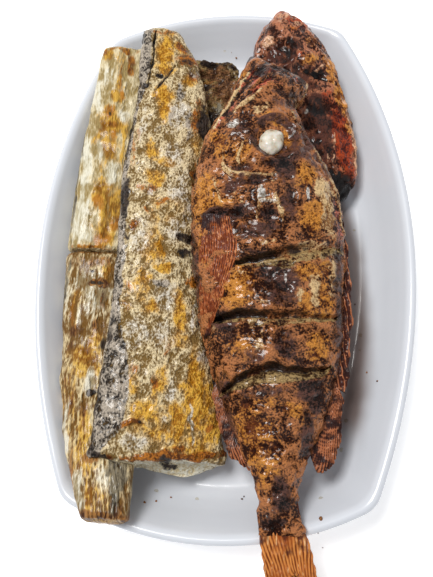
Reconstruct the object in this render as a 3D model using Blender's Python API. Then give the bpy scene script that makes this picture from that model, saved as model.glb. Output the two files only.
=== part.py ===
"""A fried red fish, the head of a second one and four pieces of cutlassfish, served on a melamine platter.

Metres, +Z up. The origin is the middle of the platter's flat foot. +Y runs along the platter towards the
fish's snout, and +X towards the side of the platter where the whole fish lies, on its left flank.
Tables of stations are in millimetres, because that is how a cook's ruler reads, and are scaled once, by MM.
"""

import bpy
import numpy as np

MM = 0.001

# ---- driving dimensions ------------------------------------------------------------------------------------
PLATTER_LENGTH = 0.305
PLATTER_WIDTH = 0.200
SIDE_ARC_RADIUS = 0.328        # the two long sides bow outwards
END_ARC_RADIUS = 0.155         # the two short ends bow more
CORNER_RADIUS = 0.014
CORNER_GROWTH = 0.35           # how much rounder the corners get for each metre further in
POINTS_PER_ARC = 5

GAP = 0.0004                   # clearance between touching pieces
SLAB_ROUNDING = 0.003          # the fried edge round a cut end
SLANT_REACH = 0.014            # how far back from a slanted end its slant starts
SLAB_SQUARENESS = 2.5          # exponent of a cutlassfish section: 2 is an ellipse
FISH_SQUARENESS = 2.1
END_STEPS = (0.0, 0.12, 0.4, 1.0)   # where the rings of a cut end's rounding lie, as shares of it
END_SHRINK = 0.75              # how much of the rounding a cut end loses on each side

# how finely each shape is faceted: (rings along it, points round each ring)
FISH_FACETS = (32, 22)
TAIL_FACETS = (10, 12)
HEAD_FACETS = (20, 20)
SLAB_FACETS = (12, 18)
FIN_POINTS = 8
SLASH_RINGS = 11
BALL_FACETS = (16, 8)
SHARP_ANGLE = 40               # degrees: a fold sharper than this is drawn as an edge

# cutters into a flank: half width, depth, and how far the cut bows towards the tail
SLASH_CUT = (0.0055, 0.011, 0.002)
MOUTH_CUT = (0.0016, 0.005, -0.001)
GILL_CUT = (0.0016, 0.004, 0.003)
CUTTER_HEADROOM = 0.012        # how far a cutter stands above the skin
CUTTER_ENDS = 0.012            # the share of a cutter's length at which its ends are cut off
CUTTER_POINTEDNESS = 0.6       # 1 is a pointed lens in plan, less is fuller
# a cutter's section: (sideways, in half widths; up, 1 being the headroom and -1 the depth)
CUTTER_SECTION = ((-1.35, 1.0), (1.35, 1.0), (1.0, 0.0), (0.35, -1.0), (-0.35, -1.0), (-1.0, 0.0))

# ---- the platter: (distance in from the rim, height), in mm, from the well, over the rim, to the foot -----
PLATTER_PROFILE = (
    (31.0, 3.5), (25.0, 3.8), (20.0, 5.8), (15.0, 10.3), (10.0, 17.0), (6.5, 22.2),
    (4.4, 24.9), (2.2, 26.0), (0.5, 25.3), (0.0, 23.8), (0.9, 22.2),
    (3.6, 20.6), (7.5, 15.2), (12.5, 8.5), (17.6, 3.3), (23.5, 0.0),
    (30.0, 0.0), (31.0, 0.7), (38.0, 0.7), (39.0, 0.0),
)

# ---- the whole fish: (Y, belly X, back X, middle height, half thickness), in mm, snout to tail root -------
RED_FISH = (
    (96.5, 14.5, 18.5, 45.0, 2.5), (92.0, 12.8, 24.0, 45.0, 6.0), (84.0, 10.5, 37.0, 44.8, 9.4),
    (76.5, 7.5, 46.5, 44.4, 11.6), (70.0, 5.0, 44.0, 44.2, 13.4), (62.0, 1.5, 39.0, 43.8, 15.4),
    (50.0, -5.0, 43.5, 43.0, 17.6), (34.0, -11.0, 50.5, 41.0, 19.2), (17.0, -14.0, 58.5, 37.8, 20.0),
    (0.0, -15.0, 62.0, 34.0, 20.5), (-16.0, -14.5, 62.5, 30.6, 20.5), (-34.0, -12.0, 61.5, 27.6, 20.5),
    (-56.0, -8.0, 60.0, 25.6, 19.6), (-76.0, -2.5, 57.0, 25.0, 17.4), (-92.0, 3.5, 52.5, 25.2, 14.6),
    (-108.0, 10.0, 45.0, 26.0, 11.6), (-122.0, 16.5, 38.5, 27.0, 8.8), (-134.0, 19.5, 36.5, 27.8, 6.0),
)
TAIL_FIN = (
    (-128.0, 20.5, 35.5, 27.6, 3.4), (-138.0, 19.0, 37.5, 28.2, 2.2), (-149.0, 20.0, 40.5, 28.6, 1.5),
    (-161.0, 21.5, 43.5, 28.8, 1.3), (-174.0, 22.5, 47.0, 28.8, 1.1),
)
TAIL_CLEFT = 0.013
# Fins are ribbons between a root line and a tip line: (root X, root Y, tip X, tip Y, height, half thickness).
SPINY_BACK_FIN = (
    (57.0, 6.0, 62.5, 3.0, 33.5, 1.4), (57.0, -15.0, 65.5, -20.0, 30.6, 1.9),
    (57.0, -40.0, 66.0, -45.0, 27.0, 2.0), (54.0, -65.0, 63.5, -70.0, 25.4, 1.9),
    (51.0, -80.0, 61.0, -86.0, 25.0, 1.6),
)
SOFT_BACK_FIN = (
    (50.0, -84.0, 60.5, -90.0, 25.0, 1.5), (44.0, -94.0, 57.5, -107.0, 25.0, 1.3),
    (40.0, -102.0, 53.5, -118.0, 25.0, 1.2), (36.0, -109.0, 47.5, -123.0, 25.2, 1.1),
)
VENT_FIN = (
    (3.0, -82.0, -3.0, -88.0, 24.6, 1.5), (9.0, -93.0, 2.0, -104.0, 24.8, 1.3),
    (13.0, -101.0, 7.5, -114.0, 25.2, 1.2), (17.0, -108.0, 16.5, -122.0, 25.6, 1.1),
)
SIDE_FIN = (
    (-7.5, -1.0, 7.0, -6.0, 2.6), (-9.0, -18.0, 9.5, -20.0, 1.9), (-9.0, -36.0, 6.0, -34.0, 1.6),
    (-8.5, -50.0, 0.5, -48.0, 1.4), (-7.0, -61.0, -4.0, -60.0, 1.1),
)
# Cuts into the flank: (start X, start Y, end X, end Y), in mm.
SLASHES = ((7.0, -31.5, 57.0, -21.0), (-4.5, -57.0, 55.5, -54.0), (3.5, -88.0, 53.5, -78.0))
MOUTH_LINE = (16.0, 97.0, 1.5, 63.0)
GILL_LINE = (-2.0, 22.0, 30.0, 3.0)
# Eggs seated on a flank: (X, Y, radius, height of the middle above the skin), in mm, and flatness.
SOCKET = (28.6, 34.4, 11.5, 1.0, 0.35)
EYE = (28.2, 33.6, 8.5, -2.5, 0.45)

# ---- the second fish's head: (Y, left X, right X, middle height, half thickness), in mm --------------------
SECOND_HEAD = (
    (146.0, 31.5, 36.0, 30.4, 3.0), (140.5, 27.5, 42.5, 30.8, 6.2), (133.0, 23.5, 49.0, 30.6, 8.6),
    (121.0, 18.0, 58.0, 28.6, 11.0), (104.0, 14.5, 65.5, 25.0, 12.4), (88.0, 13.0, 70.0, 21.8, 12.6),
    (68.0, 14.0, 74.0, 18.6, 12.4), (48.0, 17.0, 75.5, 16.4, 11.6), (34.0, 20.0, 74.0, 15.2, 10.8),
    (24.0, 22.0, 67.0, 14.6, 10.2), (12.0, 25.0, 54.0, 14.2, 9.4),
)
BURNT_EYE = (28.0, 108.0, 10.0, 1.0, 0.4)
RAISED_EYE = (46.0, 105.5, 7.0, -1.0, 0.5)
GILL_HOLLOW = (0.060, 0.024, 0.023)
GILL_HOLLOW_RADII = (0.0075, 0.010, 0.008)

# ---- cutlassfish: (Y, left X, right X, left edge height, right edge height, half thickness), in mm ---------
PIECES = {
    "cutlass_lower_left": (
        (-10.5, -85.5, -50.0, 19.0, 12.6, 6.6), (-36.0, -84.5, -49.0, 18.6, 13.0, 7.2),
        (-60.0, -82.0, -48.0, 18.6, 14.6, 7.4), (-80.0, -79.0, -46.5, 20.0, 17.6, 7.4),
        (-98.0, -75.0, -44.0, 22.6, 21.4, 7.2), (-121.0, -67.0, -38.5, 27.6, 27.4, 6.8),
        (-143.5, -58.0, -36.5, 33.4, 33.4, 6.0),
    ),
    "cutlass_upper_left": (
        (121.5, -74.5, -38.0, 32.6, 24.0, 6.6), (100.0, -77.0, -37.0, 29.0, 19.0, 7.4),
        (77.0, -81.0, -38.0, 25.4, 15.4, 7.8), (50.0, -84.0, -40.0, 22.2, 12.8, 8.0),
        (20.0, -85.5, -44.0, 20.4, 12.0, 7.6), (-8.5, -85.5, -48.0, 19.0, 12.0, 7.0),
    ),
    "cutlass_back": (
        (118.0, -36.0, 7.5, 20.0, 18.0, 6.8), (104.0, -35.0, 9.0, 16.0, 15.0, 7.4),
        (80.0, -35.0, 5.0, 13.0, 13.0, 7.6), (50.0, -36.0, -4.0, 12.2, 12.2, 7.4),
        (16.0, -36.0, -12.0, 12.0, 12.0, 6.8),
    ),
    "cutlass_middle": (
        (127.0, -50.0, -27.5, 38.5, 34.0, 6.2), (108.0, -50.0, -17.5, 37.0, 31.6, 7.6),
        (84.0, -50.5, -11.0, 35.0, 28.6, 8.6), (60.0, -53.0, -7.5, 33.4, 26.2, 9.0),
        (30.0, -55.0, -12.5, 32.0, 24.0, 9.2), (0.0, -54.5, -15.0, 31.4, 22.8, 9.2),
        (-36.0, -54.0, -11.5, 31.6, 21.0, 9.0), (-70.0, -55.5, -5.5, 33.0, 19.0, 8.8),
        (-100.0, -57.0, 1.0, 34.0, 16.6, 8.4), (-117.5, -58.5, 4.0, 34.0, 15.0, 7.6),
    ),
}

MIDDLE_END_SLANT = 0.008       # the flesh of the middle piece stands out below its shrunken skin

WHITE = (0.80, 0.81, 0.86, 1.0)
RED_BROWN = (0.36, 0.12, 0.035, 1.0)
DARK_RED = (0.24, 0.06, 0.03, 1.0)
SILVER_GOLD = (0.42, 0.34, 0.22, 1.0)
CREAM_GOLD = (0.55, 0.45, 0.26, 1.0)
BURNT = (0.14, 0.09, 0.05, 1.0)
GLAZED, OILY, CRISP = 0.18, 0.45, 0.40    # roughness of the platter, of the fish and of the cutlassfish


# ---- shared shapes -----------------------------------------------------------------------------------------
def flow(rows, at):
    """Columns of rows read at the stations `at`, on a cubic that keeps each column's own rises and falls."""
    rows = np.asarray(rows, float)
    order = np.argsort(rows[:, 0])
    station, value = rows[order, 0], rows[order, 1:]
    width = np.diff(station)[:, None]
    rise = np.diff(value, axis=0) / width
    slope = np.zeros_like(value)
    same = rise[1:] * rise[:-1] > 0
    total = np.where(same, rise[1:] + rise[:-1], 1.0)
    slope[1:-1] = np.where(same, 2 * rise[1:] * rise[:-1] / total, 0.0)
    slope[0], slope[-1] = rise[0], rise[-1]
    k = np.clip(np.searchsorted(station, at, side="right") - 1, 0, len(station) - 2)
    w = width[k]
    t = ((at - station[k]) / (station[k + 1] - station[k]))[:, None]
    return (
        value[k] * (1 + 2 * t) * (1 - t) ** 2
        + value[k + 1] * t * t * (3 - 2 * t)
        + slope[k] * w * t * (1 - t) ** 2
        - slope[k + 1] * w * t * t * (1 - t)
    )


def unit(vectors):
    return vectors / np.linalg.norm(vectors, axis=-1, keepdims=True)


def section(around, squareness):
    """Sideways and upward shares of a rounded section, from 2 (an ellipse) towards a rounded box."""
    angle = np.linspace(0, 2 * np.pi, around, endpoint=False)
    side = np.sign(np.cos(angle)) * np.abs(np.cos(angle)) ** (2 / squareness)
    up = np.sign(np.sin(angle)) * np.abs(np.sin(angle)) ** (2 / squareness)
    return side, up


def between_rails(left, right, half_thickness, around, squareness):
    """Rings round the line midway between two rails, each as wide as the rails are apart."""
    side, up = section(around, squareness)
    middle, half = (left + right) / 2, (right - left) / 2
    along = np.gradient(middle, axis=0)
    normal = unit(np.cross(half, along))
    normal = np.where(normal[:, 2:] < 0, -normal, normal)
    return (
        middle[:, None]
        + half[:, None] * side[None, :, None]
        + normal[:, None] * (half_thickness[:, None] * up[None, :])[:, :, None]
    )


def closed_loft(name, rings, collection, material):
    """One closed mesh through rings of points, with a fan over each end."""
    count, around = rings.shape[:2]
    ends = np.array([rings[0].mean(axis=0), rings[-1].mean(axis=0)])
    points = np.vstack([rings.reshape(-1, 3), ends])
    ring, spoke = np.meshgrid(np.arange(count - 1), np.arange(around), indexing="ij")
    here, beside = ring * around + spoke, ring * around + (spoke + 1) % around
    sides = np.stack([here, beside, beside + around, here + around], axis=-1).reshape(-1, 4)
    rim = np.arange(around)
    after = (rim + 1) % around
    last = (count - 1) * around
    first_fan = np.stack([after, rim, np.full(around, count * around)], axis=-1)
    last_fan = np.stack([last + rim, last + after, np.full(around, count * around + 1)], axis=-1)
    faces = sides.tolist() + first_fan.tolist() + last_fan.tolist()
    mesh = bpy.data.meshes.new(name)
    mesh.from_pydata(points.tolist(), [], faces)
    if signed_volume(mesh) < 0:
        mesh.flip_normals()
    mesh.shade_smooth()
    mesh.set_sharp_from_angle(angle=np.radians(SHARP_ANGLE))
    obj = bpy.data.objects.new(name, mesh)
    collection.objects.link(obj)
    if material:
        mesh.materials.append(material)
    else:
        obj.hide_render = True
        obj.display_type = "WIRE"
    return obj


def signed_volume(mesh):
    mesh.calc_loop_triangles()
    points = np.empty(len(mesh.vertices) * 3, np.float32)
    mesh.vertices.foreach_get("co", points)
    corners = np.empty(len(mesh.loop_triangles) * 3, np.int32)
    mesh.loop_triangles.foreach_get("vertices", corners)
    a, b, c = points.reshape(-1, 3)[corners.reshape(-1, 3)].transpose(1, 0, 2)
    return float(np.einsum("ij,ij->", a, np.cross(b, c)))


def finish(name, colour, roughness):
    material = bpy.data.materials.new(name)
    material.use_nodes = True
    shader = material.node_tree.nodes["Principled BSDF"]
    shader.inputs["Base Color"].default_value = colour
    shader.inputs["Roughness"].default_value = roughness
    shader.inputs["Metallic"].default_value = 0.0
    return material


def boolean(obj, other, operation, solver="EXACT"):
    modifier = obj.modifiers.new(f"{operation.lower()}_{other.name}", "BOOLEAN")
    modifier.operation = operation
    modifier.object = other
    modifier.solver = solver


def grown(obj, collection):
    """A cutter: the finished object with each point moved outwards by the clearance."""
    graph = bpy.context.evaluated_depsgraph_get()
    mesh = bpy.data.meshes.new_from_object(obj.evaluated_get(graph))
    points = np.empty(len(mesh.vertices) * 3, np.float32)
    normals = np.empty(len(mesh.vertices) * 3, np.float32)
    mesh.vertices.foreach_get("co", points)
    mesh.vertices.foreach_get("normal", normals)
    mesh.vertices.foreach_set("co", points + GAP * normals)
    mesh.update()
    cutter = bpy.data.objects.new(f"clear_of_{obj.name}", mesh)
    cutter.hide_render = True
    cutter.display_type = "WIRE"
    collection.objects.link(cutter)
    return cutter


# ---- the platter -------------------------------------------------------------------------------------------
def platter_outline(inset):
    """Four arcs joined by four tangent corner arcs, in by `inset` from the rim."""
    side_radius, end_radius = SIDE_ARC_RADIUS - inset, END_ARC_RADIUS - inset
    corner = CORNER_RADIUS + CORNER_GROWTH * inset
    side_centre = np.array([PLATTER_WIDTH / 2 - SIDE_ARC_RADIUS, 0.0])
    end_centre = np.array([0.0, PLATTER_LENGTH / 2 - END_ARC_RADIUS])
    # the corner's centre lies where the two inner arcs, smaller by the corner radius, cross
    reach_side, reach_end = side_radius - corner, end_radius - corner
    apart = end_centre - side_centre
    distance = np.hypot(*apart)
    direction = apart / distance
    along = (distance**2 + reach_side**2 - reach_end**2) / (2 * distance)
    off = np.sqrt(reach_side**2 - along**2)
    centre = side_centre + along * direction + off * np.array([-direction[1], direction[0]])
    side_end = np.arctan2(*(centre - side_centre)[::-1])
    end_start = np.arctan2(*(centre - end_centre)[::-1])

    def arc(middle, radius, start, stop):
        angle = np.linspace(start, stop, POINTS_PER_ARC, endpoint=False)[:, None]
        return middle + radius * np.hstack([np.cos(angle), np.sin(angle)])

    quarter = np.vstack([
        arc(side_centre, side_radius, 0.0, side_end),
        arc(centre, corner, side_end, end_start),
        arc(end_centre, end_radius, end_start, np.pi / 2),
    ])
    top = np.array([[0.0, end_centre[1] + end_radius]])
    half = np.vstack([quarter, top, quarter[:0:-1] * (-1, 1)])
    return np.vstack([half, -half])


def platter(collection):
    rings = []
    for inset, height in PLATTER_PROFILE:
        outline = platter_outline(inset * MM)
        rings.append(np.column_stack([outline, np.full(len(outline), height * MM)]))
    return closed_loft("platter", np.array(rings), collection, finish("melamine_white", WHITE, GLAZED))


# ---- fish --------------------------------------------------------------------------------------------------
def stations(first, last, count, ease):
    """Stations from first to last, crowded towards both ends by the share `ease`."""
    share = np.linspace(0, 1, count)
    share = (1 - ease) * share + ease * (1 - np.cos(np.pi * share)) / 2
    return first + (last - first) * share


def fish_body(name, table, facets, collection, material, cleft=0.0):
    """A fish's flank, lying level: rails along the belly and the back at the middle height."""
    rows = np.array(table)
    count, around = facets
    y = stations(rows[0, 0], rows[-1, 0], count, 0.5)
    belly, back, height, half = (flow(rows, y) * MM).T
    y = y * MM
    left, right = np.column_stack([belly, y, height]), np.column_stack([back, y, height])
    rings = between_rails(left, right, half, around, FISH_SQUARENESS)
    if cleft:
        centre = (rings[:, :, 0] - (belly + back)[:, None] / 2) / ((back - belly)[:, None] / 2)
        along = (y - y[0]) / (y[-1] - y[0])
        rings[:, :, 1] += cleft * (along**3)[:, None] * (1 - np.abs(centre))
    return closed_loft(name, rings, collection, material)


def fin(name, table, collection):
    """A thin ribbon between its root line and its tip line."""
    rows = np.array(table)
    share = np.linspace(0, 1, len(rows))
    fine = np.linspace(0, 1, 2 * len(rows) - 1)
    values = flow(np.column_stack([share, rows]), fine) * MM
    root, tip = values[:, [0, 1, 4]], values[:, [2, 3, 4]]
    rings = between_rails(root, tip, values[:, 5], FIN_POINTS, FISH_SQUARENESS)
    return closed_loft(name, rings, collection, None)


def skin_height(table, x, y):
    """Height of the upper flank over a point in plan, metres."""
    belly, back, height, half = (flow(table, np.atleast_1d(y) / MM) * MM).T
    share = (x - (belly + back) / 2) / ((back - belly) / 2)
    inside = np.clip(1 - np.abs(share) ** FISH_SQUARENESS, 0, 1)
    return height + half * inside ** (1 / FISH_SQUARENESS)


def side_fin(collection):
    """The breast fin, pressed flat on the flank: it follows the skin a little below and above it."""
    rows = np.array(SIDE_FIN)
    fine = np.linspace(0, 1, 2 * len(rows) - 1)
    values = flow(np.column_stack([np.linspace(0, 1, len(rows)), rows]), fine) * MM
    root = np.column_stack([values[:, :2], skin_height(RED_FISH, values[:, 0], values[:, 1])])
    tip = np.column_stack([values[:, 2:4], skin_height(RED_FISH, values[:, 2], values[:, 3])])
    tip[:, 2] = np.maximum(tip[:, 2], root[:, 2])
    rings = between_rails(root, tip, values[:, 4], FIN_POINTS, FISH_SQUARENESS)
    return closed_loft("breast_fin", rings, collection, None)


def cut(name, line, size, collection):
    """A boat-shaped cutter along a line on the whole fish's flank, deepest and widest in the middle."""
    half_width, depth, bow = size
    start, end = np.array(line[:2]) * MM, np.array(line[2:]) * MM
    share = np.linspace(0, 1, SLASH_RINGS)
    belly = np.sin(np.pi * np.clip(share, CUTTER_ENDS, 1 - CUTTER_ENDS)) ** CUTTER_POINTEDNESS
    heading = unit(end - start)
    tailwards = np.array([heading[1], -heading[0]]) * np.sign(heading[0])
    path = start + share[:, None] * (end - start) + bow * np.sin(np.pi * share)[:, None] * tailwards
    skin = skin_height(RED_FISH, path[:, 0], path[:, 1])
    across, rise = np.array(CUTTER_SECTION).T
    reach = np.where(rise > 0, CUTTER_HEADROOM, depth)
    xy = path[:, None] + (half_width * belly)[:, None, None] * across[None, :, None] * tailwards
    z = skin[:, None] + rise * reach * np.where(rise > 0, 1.0, belly[:, None])
    return closed_loft(name, np.dstack([xy, z]), collection, None)


def ball(name, centre, radii, collection):
    """A helper egg: a bead to join on, or a hollow to cut."""
    segments, rings = BALL_FACETS
    bpy.ops.mesh.primitive_uv_sphere_add(segments=segments, ring_count=rings, radius=1.0)
    obj = bpy.context.object
    obj.name = name
    obj.location = centre
    obj.scale = radii
    obj.hide_render = True
    obj.display_type = "WIRE"
    for holder in list(obj.users_collection):
        holder.objects.unlink(obj)
    collection.objects.link(obj)
    return obj


def seated_ball(name, table, place, collection):
    """A helper egg on a flank: see SOCKET for what its place holds."""
    x, y, radius, lift = np.array(place[:4]) * MM
    skin = skin_height(table, np.array([x]), np.array([y]))[0]
    return ball(name, (x, y, skin + lift), (radius, radius, radius * place[4]), collection)


def red_fish(collection, cutters):
    skin = finish("fried_red_skin", RED_BROWN, OILY)
    fish = fish_body("red_fish", RED_FISH, FISH_FACETS, collection, skin)
    for number, line in enumerate(SLASHES):
        boolean(fish, cut(f"slash_{number + 1}", line, SLASH_CUT, cutters), "DIFFERENCE")
    boolean(fish, cut("mouth", MOUTH_LINE, MOUTH_CUT, cutters), "DIFFERENCE")
    boolean(fish, cut("gill", GILL_LINE, GILL_CUT, cutters), "DIFFERENCE")
    boolean(fish, seated_ball("socket", RED_FISH, SOCKET, cutters), "DIFFERENCE")
    boolean(fish, seated_ball("eye", RED_FISH, EYE, cutters), "UNION")
    fins = (
        fish_body("tail_fin", TAIL_FIN, TAIL_FACETS, cutters, None, TAIL_CLEFT),
        fin("spiny_back_fin", SPINY_BACK_FIN, cutters),
        fin("soft_back_fin", SOFT_BACK_FIN, cutters),
        fin("vent_fin", VENT_FIN, cutters),
        side_fin(cutters),
    )
    for piece in fins:
        boolean(fish, piece, "UNION", "MANIFOLD")
    return fish


def second_head(collection, cutters):
    skin = finish("fried_dark_skin", DARK_RED, OILY)
    head = fish_body("red_fish_head", SECOND_HEAD, HEAD_FACETS, collection, skin)
    boolean(head, seated_ball("burnt_eye", SECOND_HEAD, BURNT_EYE, cutters), "DIFFERENCE")
    boolean(head, seated_ball("raised_eye", SECOND_HEAD, RAISED_EYE, cutters), "UNION")
    boolean(head, ball("gill_hollow", GILL_HOLLOW, GILL_HOLLOW_RADII, cutters), "DIFFERENCE", "MANIFOLD")
    return head


def cutlass(name, colour, collection, slant=0.0):
    """A length of a ribbon-shaped fish cut across at both ends, its edges rounded by the frying.

    The last end can slant: its underside then stands out beyond its upper skin.
    """
    rows = np.array(PIECES[name])
    count, around = SLAB_FACETS
    inner = stations(rows[0, 0], rows[-1, 0], count, 0.0) * MM
    radius = SLAB_ROUNDING
    step = np.array(END_STEPS) * radius
    towards = np.sign(inner[-1] - inner[0])
    y = np.concatenate([inner[0] + towards * step, inner[1:-1], inner[-1] - towards * step[::-1]])
    left_x, right_x, left_z, right_z, half = (flow(rows, y / MM) * MM).T
    depth = np.clip(np.minimum(np.abs(y - inner[0]), np.abs(y - inner[-1])) / radius, 0, 1)
    shrink = radius * END_SHRINK * (1 - np.sqrt(1 - (1 - depth) ** 2))
    left = np.column_stack([left_x + shrink, y, left_z])
    right = np.column_stack([right_x - shrink, y, right_z])
    rings = between_rails(left, right, half - shrink, around, SLAB_SQUARENESS)
    near_end = np.clip(1 - np.abs(y - inner[-1]) / SLANT_REACH, 0, 1) ** 2
    depth_share = (1 - section(around, SLAB_SQUARENESS)[1]) / 2
    rings[:, :, 1] += towards * slant * near_end[:, None] * depth_share[None, :]
    return closed_loft(name, rings, collection, finish(f"{name}_skin", colour, CRISP))


def lay(obj, *under):
    """Presses a piece onto what it lies on: it takes their shape and keeps the clearance."""
    for cutter in under:
        boolean(obj, cutter, "DIFFERENCE", "MANIFOLD")


def new_collection(name):
    collection = bpy.data.collections.new(name)
    bpy.context.scene.collection.children.link(collection)
    return collection


for leftover in list(bpy.data.objects):
    bpy.data.objects.remove(leftover)
model = new_collection("fried_fish_platter")
helpers = new_collection("cutters")

dish = platter(model)
lower_left = cutlass("cutlass_lower_left", CREAM_GOLD, model)
upper_left = cutlass("cutlass_upper_left", CREAM_GOLD, model)
back = cutlass("cutlass_back", BURNT, model)
middle = cutlass("cutlass_middle", SILVER_GOLD, model, MIDDLE_END_SLANT)
head = second_head(model, helpers)
fish = red_fish(model, helpers)

clear_dish = grown(dish, helpers)
lay(lower_left, clear_dish)
clear_lower_left = grown(lower_left, helpers)
lay(upper_left, clear_dish, clear_lower_left)
clear_upper_left = grown(upper_left, helpers)
lay(back, clear_dish, clear_upper_left, clear_lower_left)
clear_back = grown(back, helpers)
lay(head, clear_dish, clear_back)
clear_head = grown(head, helpers)
lay(middle, clear_dish, clear_lower_left, clear_upper_left, clear_back, clear_head)
clear_middle = grown(middle, helpers)
lay(fish, clear_dish, clear_back, clear_head, clear_middle, clear_lower_left)
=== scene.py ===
"""A platter of fried fish: a whole red fish, the head of a second one and four lengths of cutlassfish.

Every fish piece is a grid with two parameters, the station along the piece and the angle round its section.
At each station the section is a superellipse between a left rail and a right rail, so a point is the middle
of the rails, plus half their distance times cos(angle) to a power, plus the half thickness times sin(angle)
to the same power along the section's normal. Skin relief is then added along the outward normal: value
noise for the crust, trenches for cuts, and ridges for bones and fin rays. Named patches, given in mm on the
plan of the platter, become vertex attributes that the shaders turn into browned, golden and bare skin.
The platter is the same kind of grid, its two parameters being a profile from well to foot and the outline.
"""

import bpy
import numpy as np
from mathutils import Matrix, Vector


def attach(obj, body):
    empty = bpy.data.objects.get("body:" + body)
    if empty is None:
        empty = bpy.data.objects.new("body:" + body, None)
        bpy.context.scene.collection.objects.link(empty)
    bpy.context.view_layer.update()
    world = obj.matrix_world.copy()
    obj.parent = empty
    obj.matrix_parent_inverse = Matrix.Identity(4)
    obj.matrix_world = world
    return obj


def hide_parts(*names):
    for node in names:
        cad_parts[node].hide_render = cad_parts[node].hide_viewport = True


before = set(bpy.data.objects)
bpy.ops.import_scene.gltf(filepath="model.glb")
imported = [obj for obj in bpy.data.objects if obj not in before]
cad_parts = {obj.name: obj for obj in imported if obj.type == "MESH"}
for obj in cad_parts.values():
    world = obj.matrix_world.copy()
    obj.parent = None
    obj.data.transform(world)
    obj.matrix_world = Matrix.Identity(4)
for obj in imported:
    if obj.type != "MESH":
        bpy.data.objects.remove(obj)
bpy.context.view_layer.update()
MM = 0.001


# ---- platter -----------------------------------------------------------------------------------------------
# A deep serving platter pressed in one piece from white melamine resin, glossy and faintly blue.
# Four bowed sides meet in tight corners; the rim is rolled over and the wall stands on a raised foot.
class Sock:
    """An output socket that Python arithmetic works on: each operator adds one Math node to its tree."""

    def __init__(self, tree, socket):
        self.tree = tree
        self.socket = socket

    def node(self, kind, output=0, inputs=(), **settings):
        """Adds a node of any kind, with its properties as settings and its sockets by name or number."""
        made = self.tree.nodes.new(kind)
        for name, value in settings.items():
            setattr(made, name, value)
        for name, value in dict(inputs).items():
            if isinstance(value, Sock):
                self.tree.links.new(value.socket, made.inputs[name])
            else:
                made.inputs[name].default_value = value
        return Sock(self.tree, made.outputs[output])

    def math(self, operation, *values):
        return self.node("ShaderNodeMath", 0, enumerate(values), operation=operation)

    def __add__(self, other):
        return self.math("ADD", self, other)

    def __radd__(self, other):
        return self.math("ADD", other, self)

    def __sub__(self, other):
        return self.math("SUBTRACT", self, other)

    def __rsub__(self, other):
        return self.math("SUBTRACT", other, self)

    def __mul__(self, other):
        return self.math("MULTIPLY", self, other)

    def __rmul__(self, other):
        return self.math("MULTIPLY", other, self)

    def over(self, edge, soft):
        """0 where this is well below the edge, 1 well above it, and a smooth step `soft` either side."""
        bounds = {"Value": self, "From Min": edge - soft, "From Max": edge + soft}
        return self.node("ShaderNodeMapRange", 0, bounds, interpolation_type="SMOOTHSTEP")

    def mix(self, low, high):
        """The colour `low` where this is 0 and `high` where it is 1."""
        return self.node("ShaderNodeMix", 2, {0: self, 6: low, 7: high}, data_type="RGBA")

    def noise(self, cell, detail=3.0, stretch=(1.0, 1.0, 1.0)):
        """Noise about 0.5, with cells of this many metres, longer along an axis whose stretch is over 1."""
        scale = {"Vector": self, "Scale": tuple(1 / s for s in stretch)}
        at = self.node("ShaderNodeMapping", 0, scale)
        return at.node("ShaderNodeTexNoise", 0, {"Vector": at, "Scale": 1 / cell, "Detail": detail})

    def mask(self, name):
        return self.node("ShaderNodeAttribute", "Fac", attribute_name=name)


def new_material(name):
    """A material, and its Object coordinates, from which all its other nodes grow."""
    material = bpy.data.materials.new(name)
    material.use_nodes = True
    tree = material.node_tree
    return material, Sock(tree, tree.nodes.new("ShaderNodeTexCoord").outputs["Object"])


def finish_material(material, sockets, height=None, depth=0.0):
    """Sets the surface shader's sockets, and its normal from a height that is worth `depth` metres."""
    shader = material.node_tree.nodes["Principled BSDF"]
    if height is not None:
        sockets["Normal"] = height.node("ShaderNodeBump", 0, {"Height": height, "Distance": depth})
    for name, value in sockets.items():
        if isinstance(value, Sock):
            material.node_tree.links.new(value.socket, shader.inputs[name])
        else:
            shader.inputs[name].default_value = value


def rgb(red, green, blue):
    """A display colour of 0 to 255 as the linear colour that a shader takes."""
    share = np.array([red, green, blue]) / 255
    linear = np.where(share <= 0.04045, share / 12.92, ((share + 0.055) / 1.055) ** 2.4)
    return (*linear.tolist(), 1.0)


def flow(rows, at):
    """Columns of rows read at the stations `at`, on a cubic that keeps each column's rises and falls."""
    rows = np.asarray(rows, float)
    order = np.argsort(rows[:, 0])
    station, value = rows[order, 0], rows[order, 1:]
    width = np.diff(station)[:, None]
    rise = np.diff(value, axis=0) / width
    slope = np.zeros_like(value)
    same = rise[1:] * rise[:-1] > 0
    total = np.where(same, rise[1:] + rise[:-1], 1.0)
    slope[1:-1] = np.where(same, 2 * rise[1:] * rise[:-1] / total, 0.0)
    slope[0], slope[-1] = rise[0], rise[-1]
    k = np.clip(np.searchsorted(station, at, side="right") - 1, 0, len(station) - 2)
    w = width[k]
    t = ((at - station[k]) / (station[k + 1] - station[k]))[:, None]
    return (
        value[k] * (1 + 2 * t) * (1 - t) ** 2
        + value[k + 1] * t * t * (3 - 2 * t)
        + slope[k] * w * t * (1 - t) ** 2
        - slope[k + 1] * w * t * t * (1 - t)
    )


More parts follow.
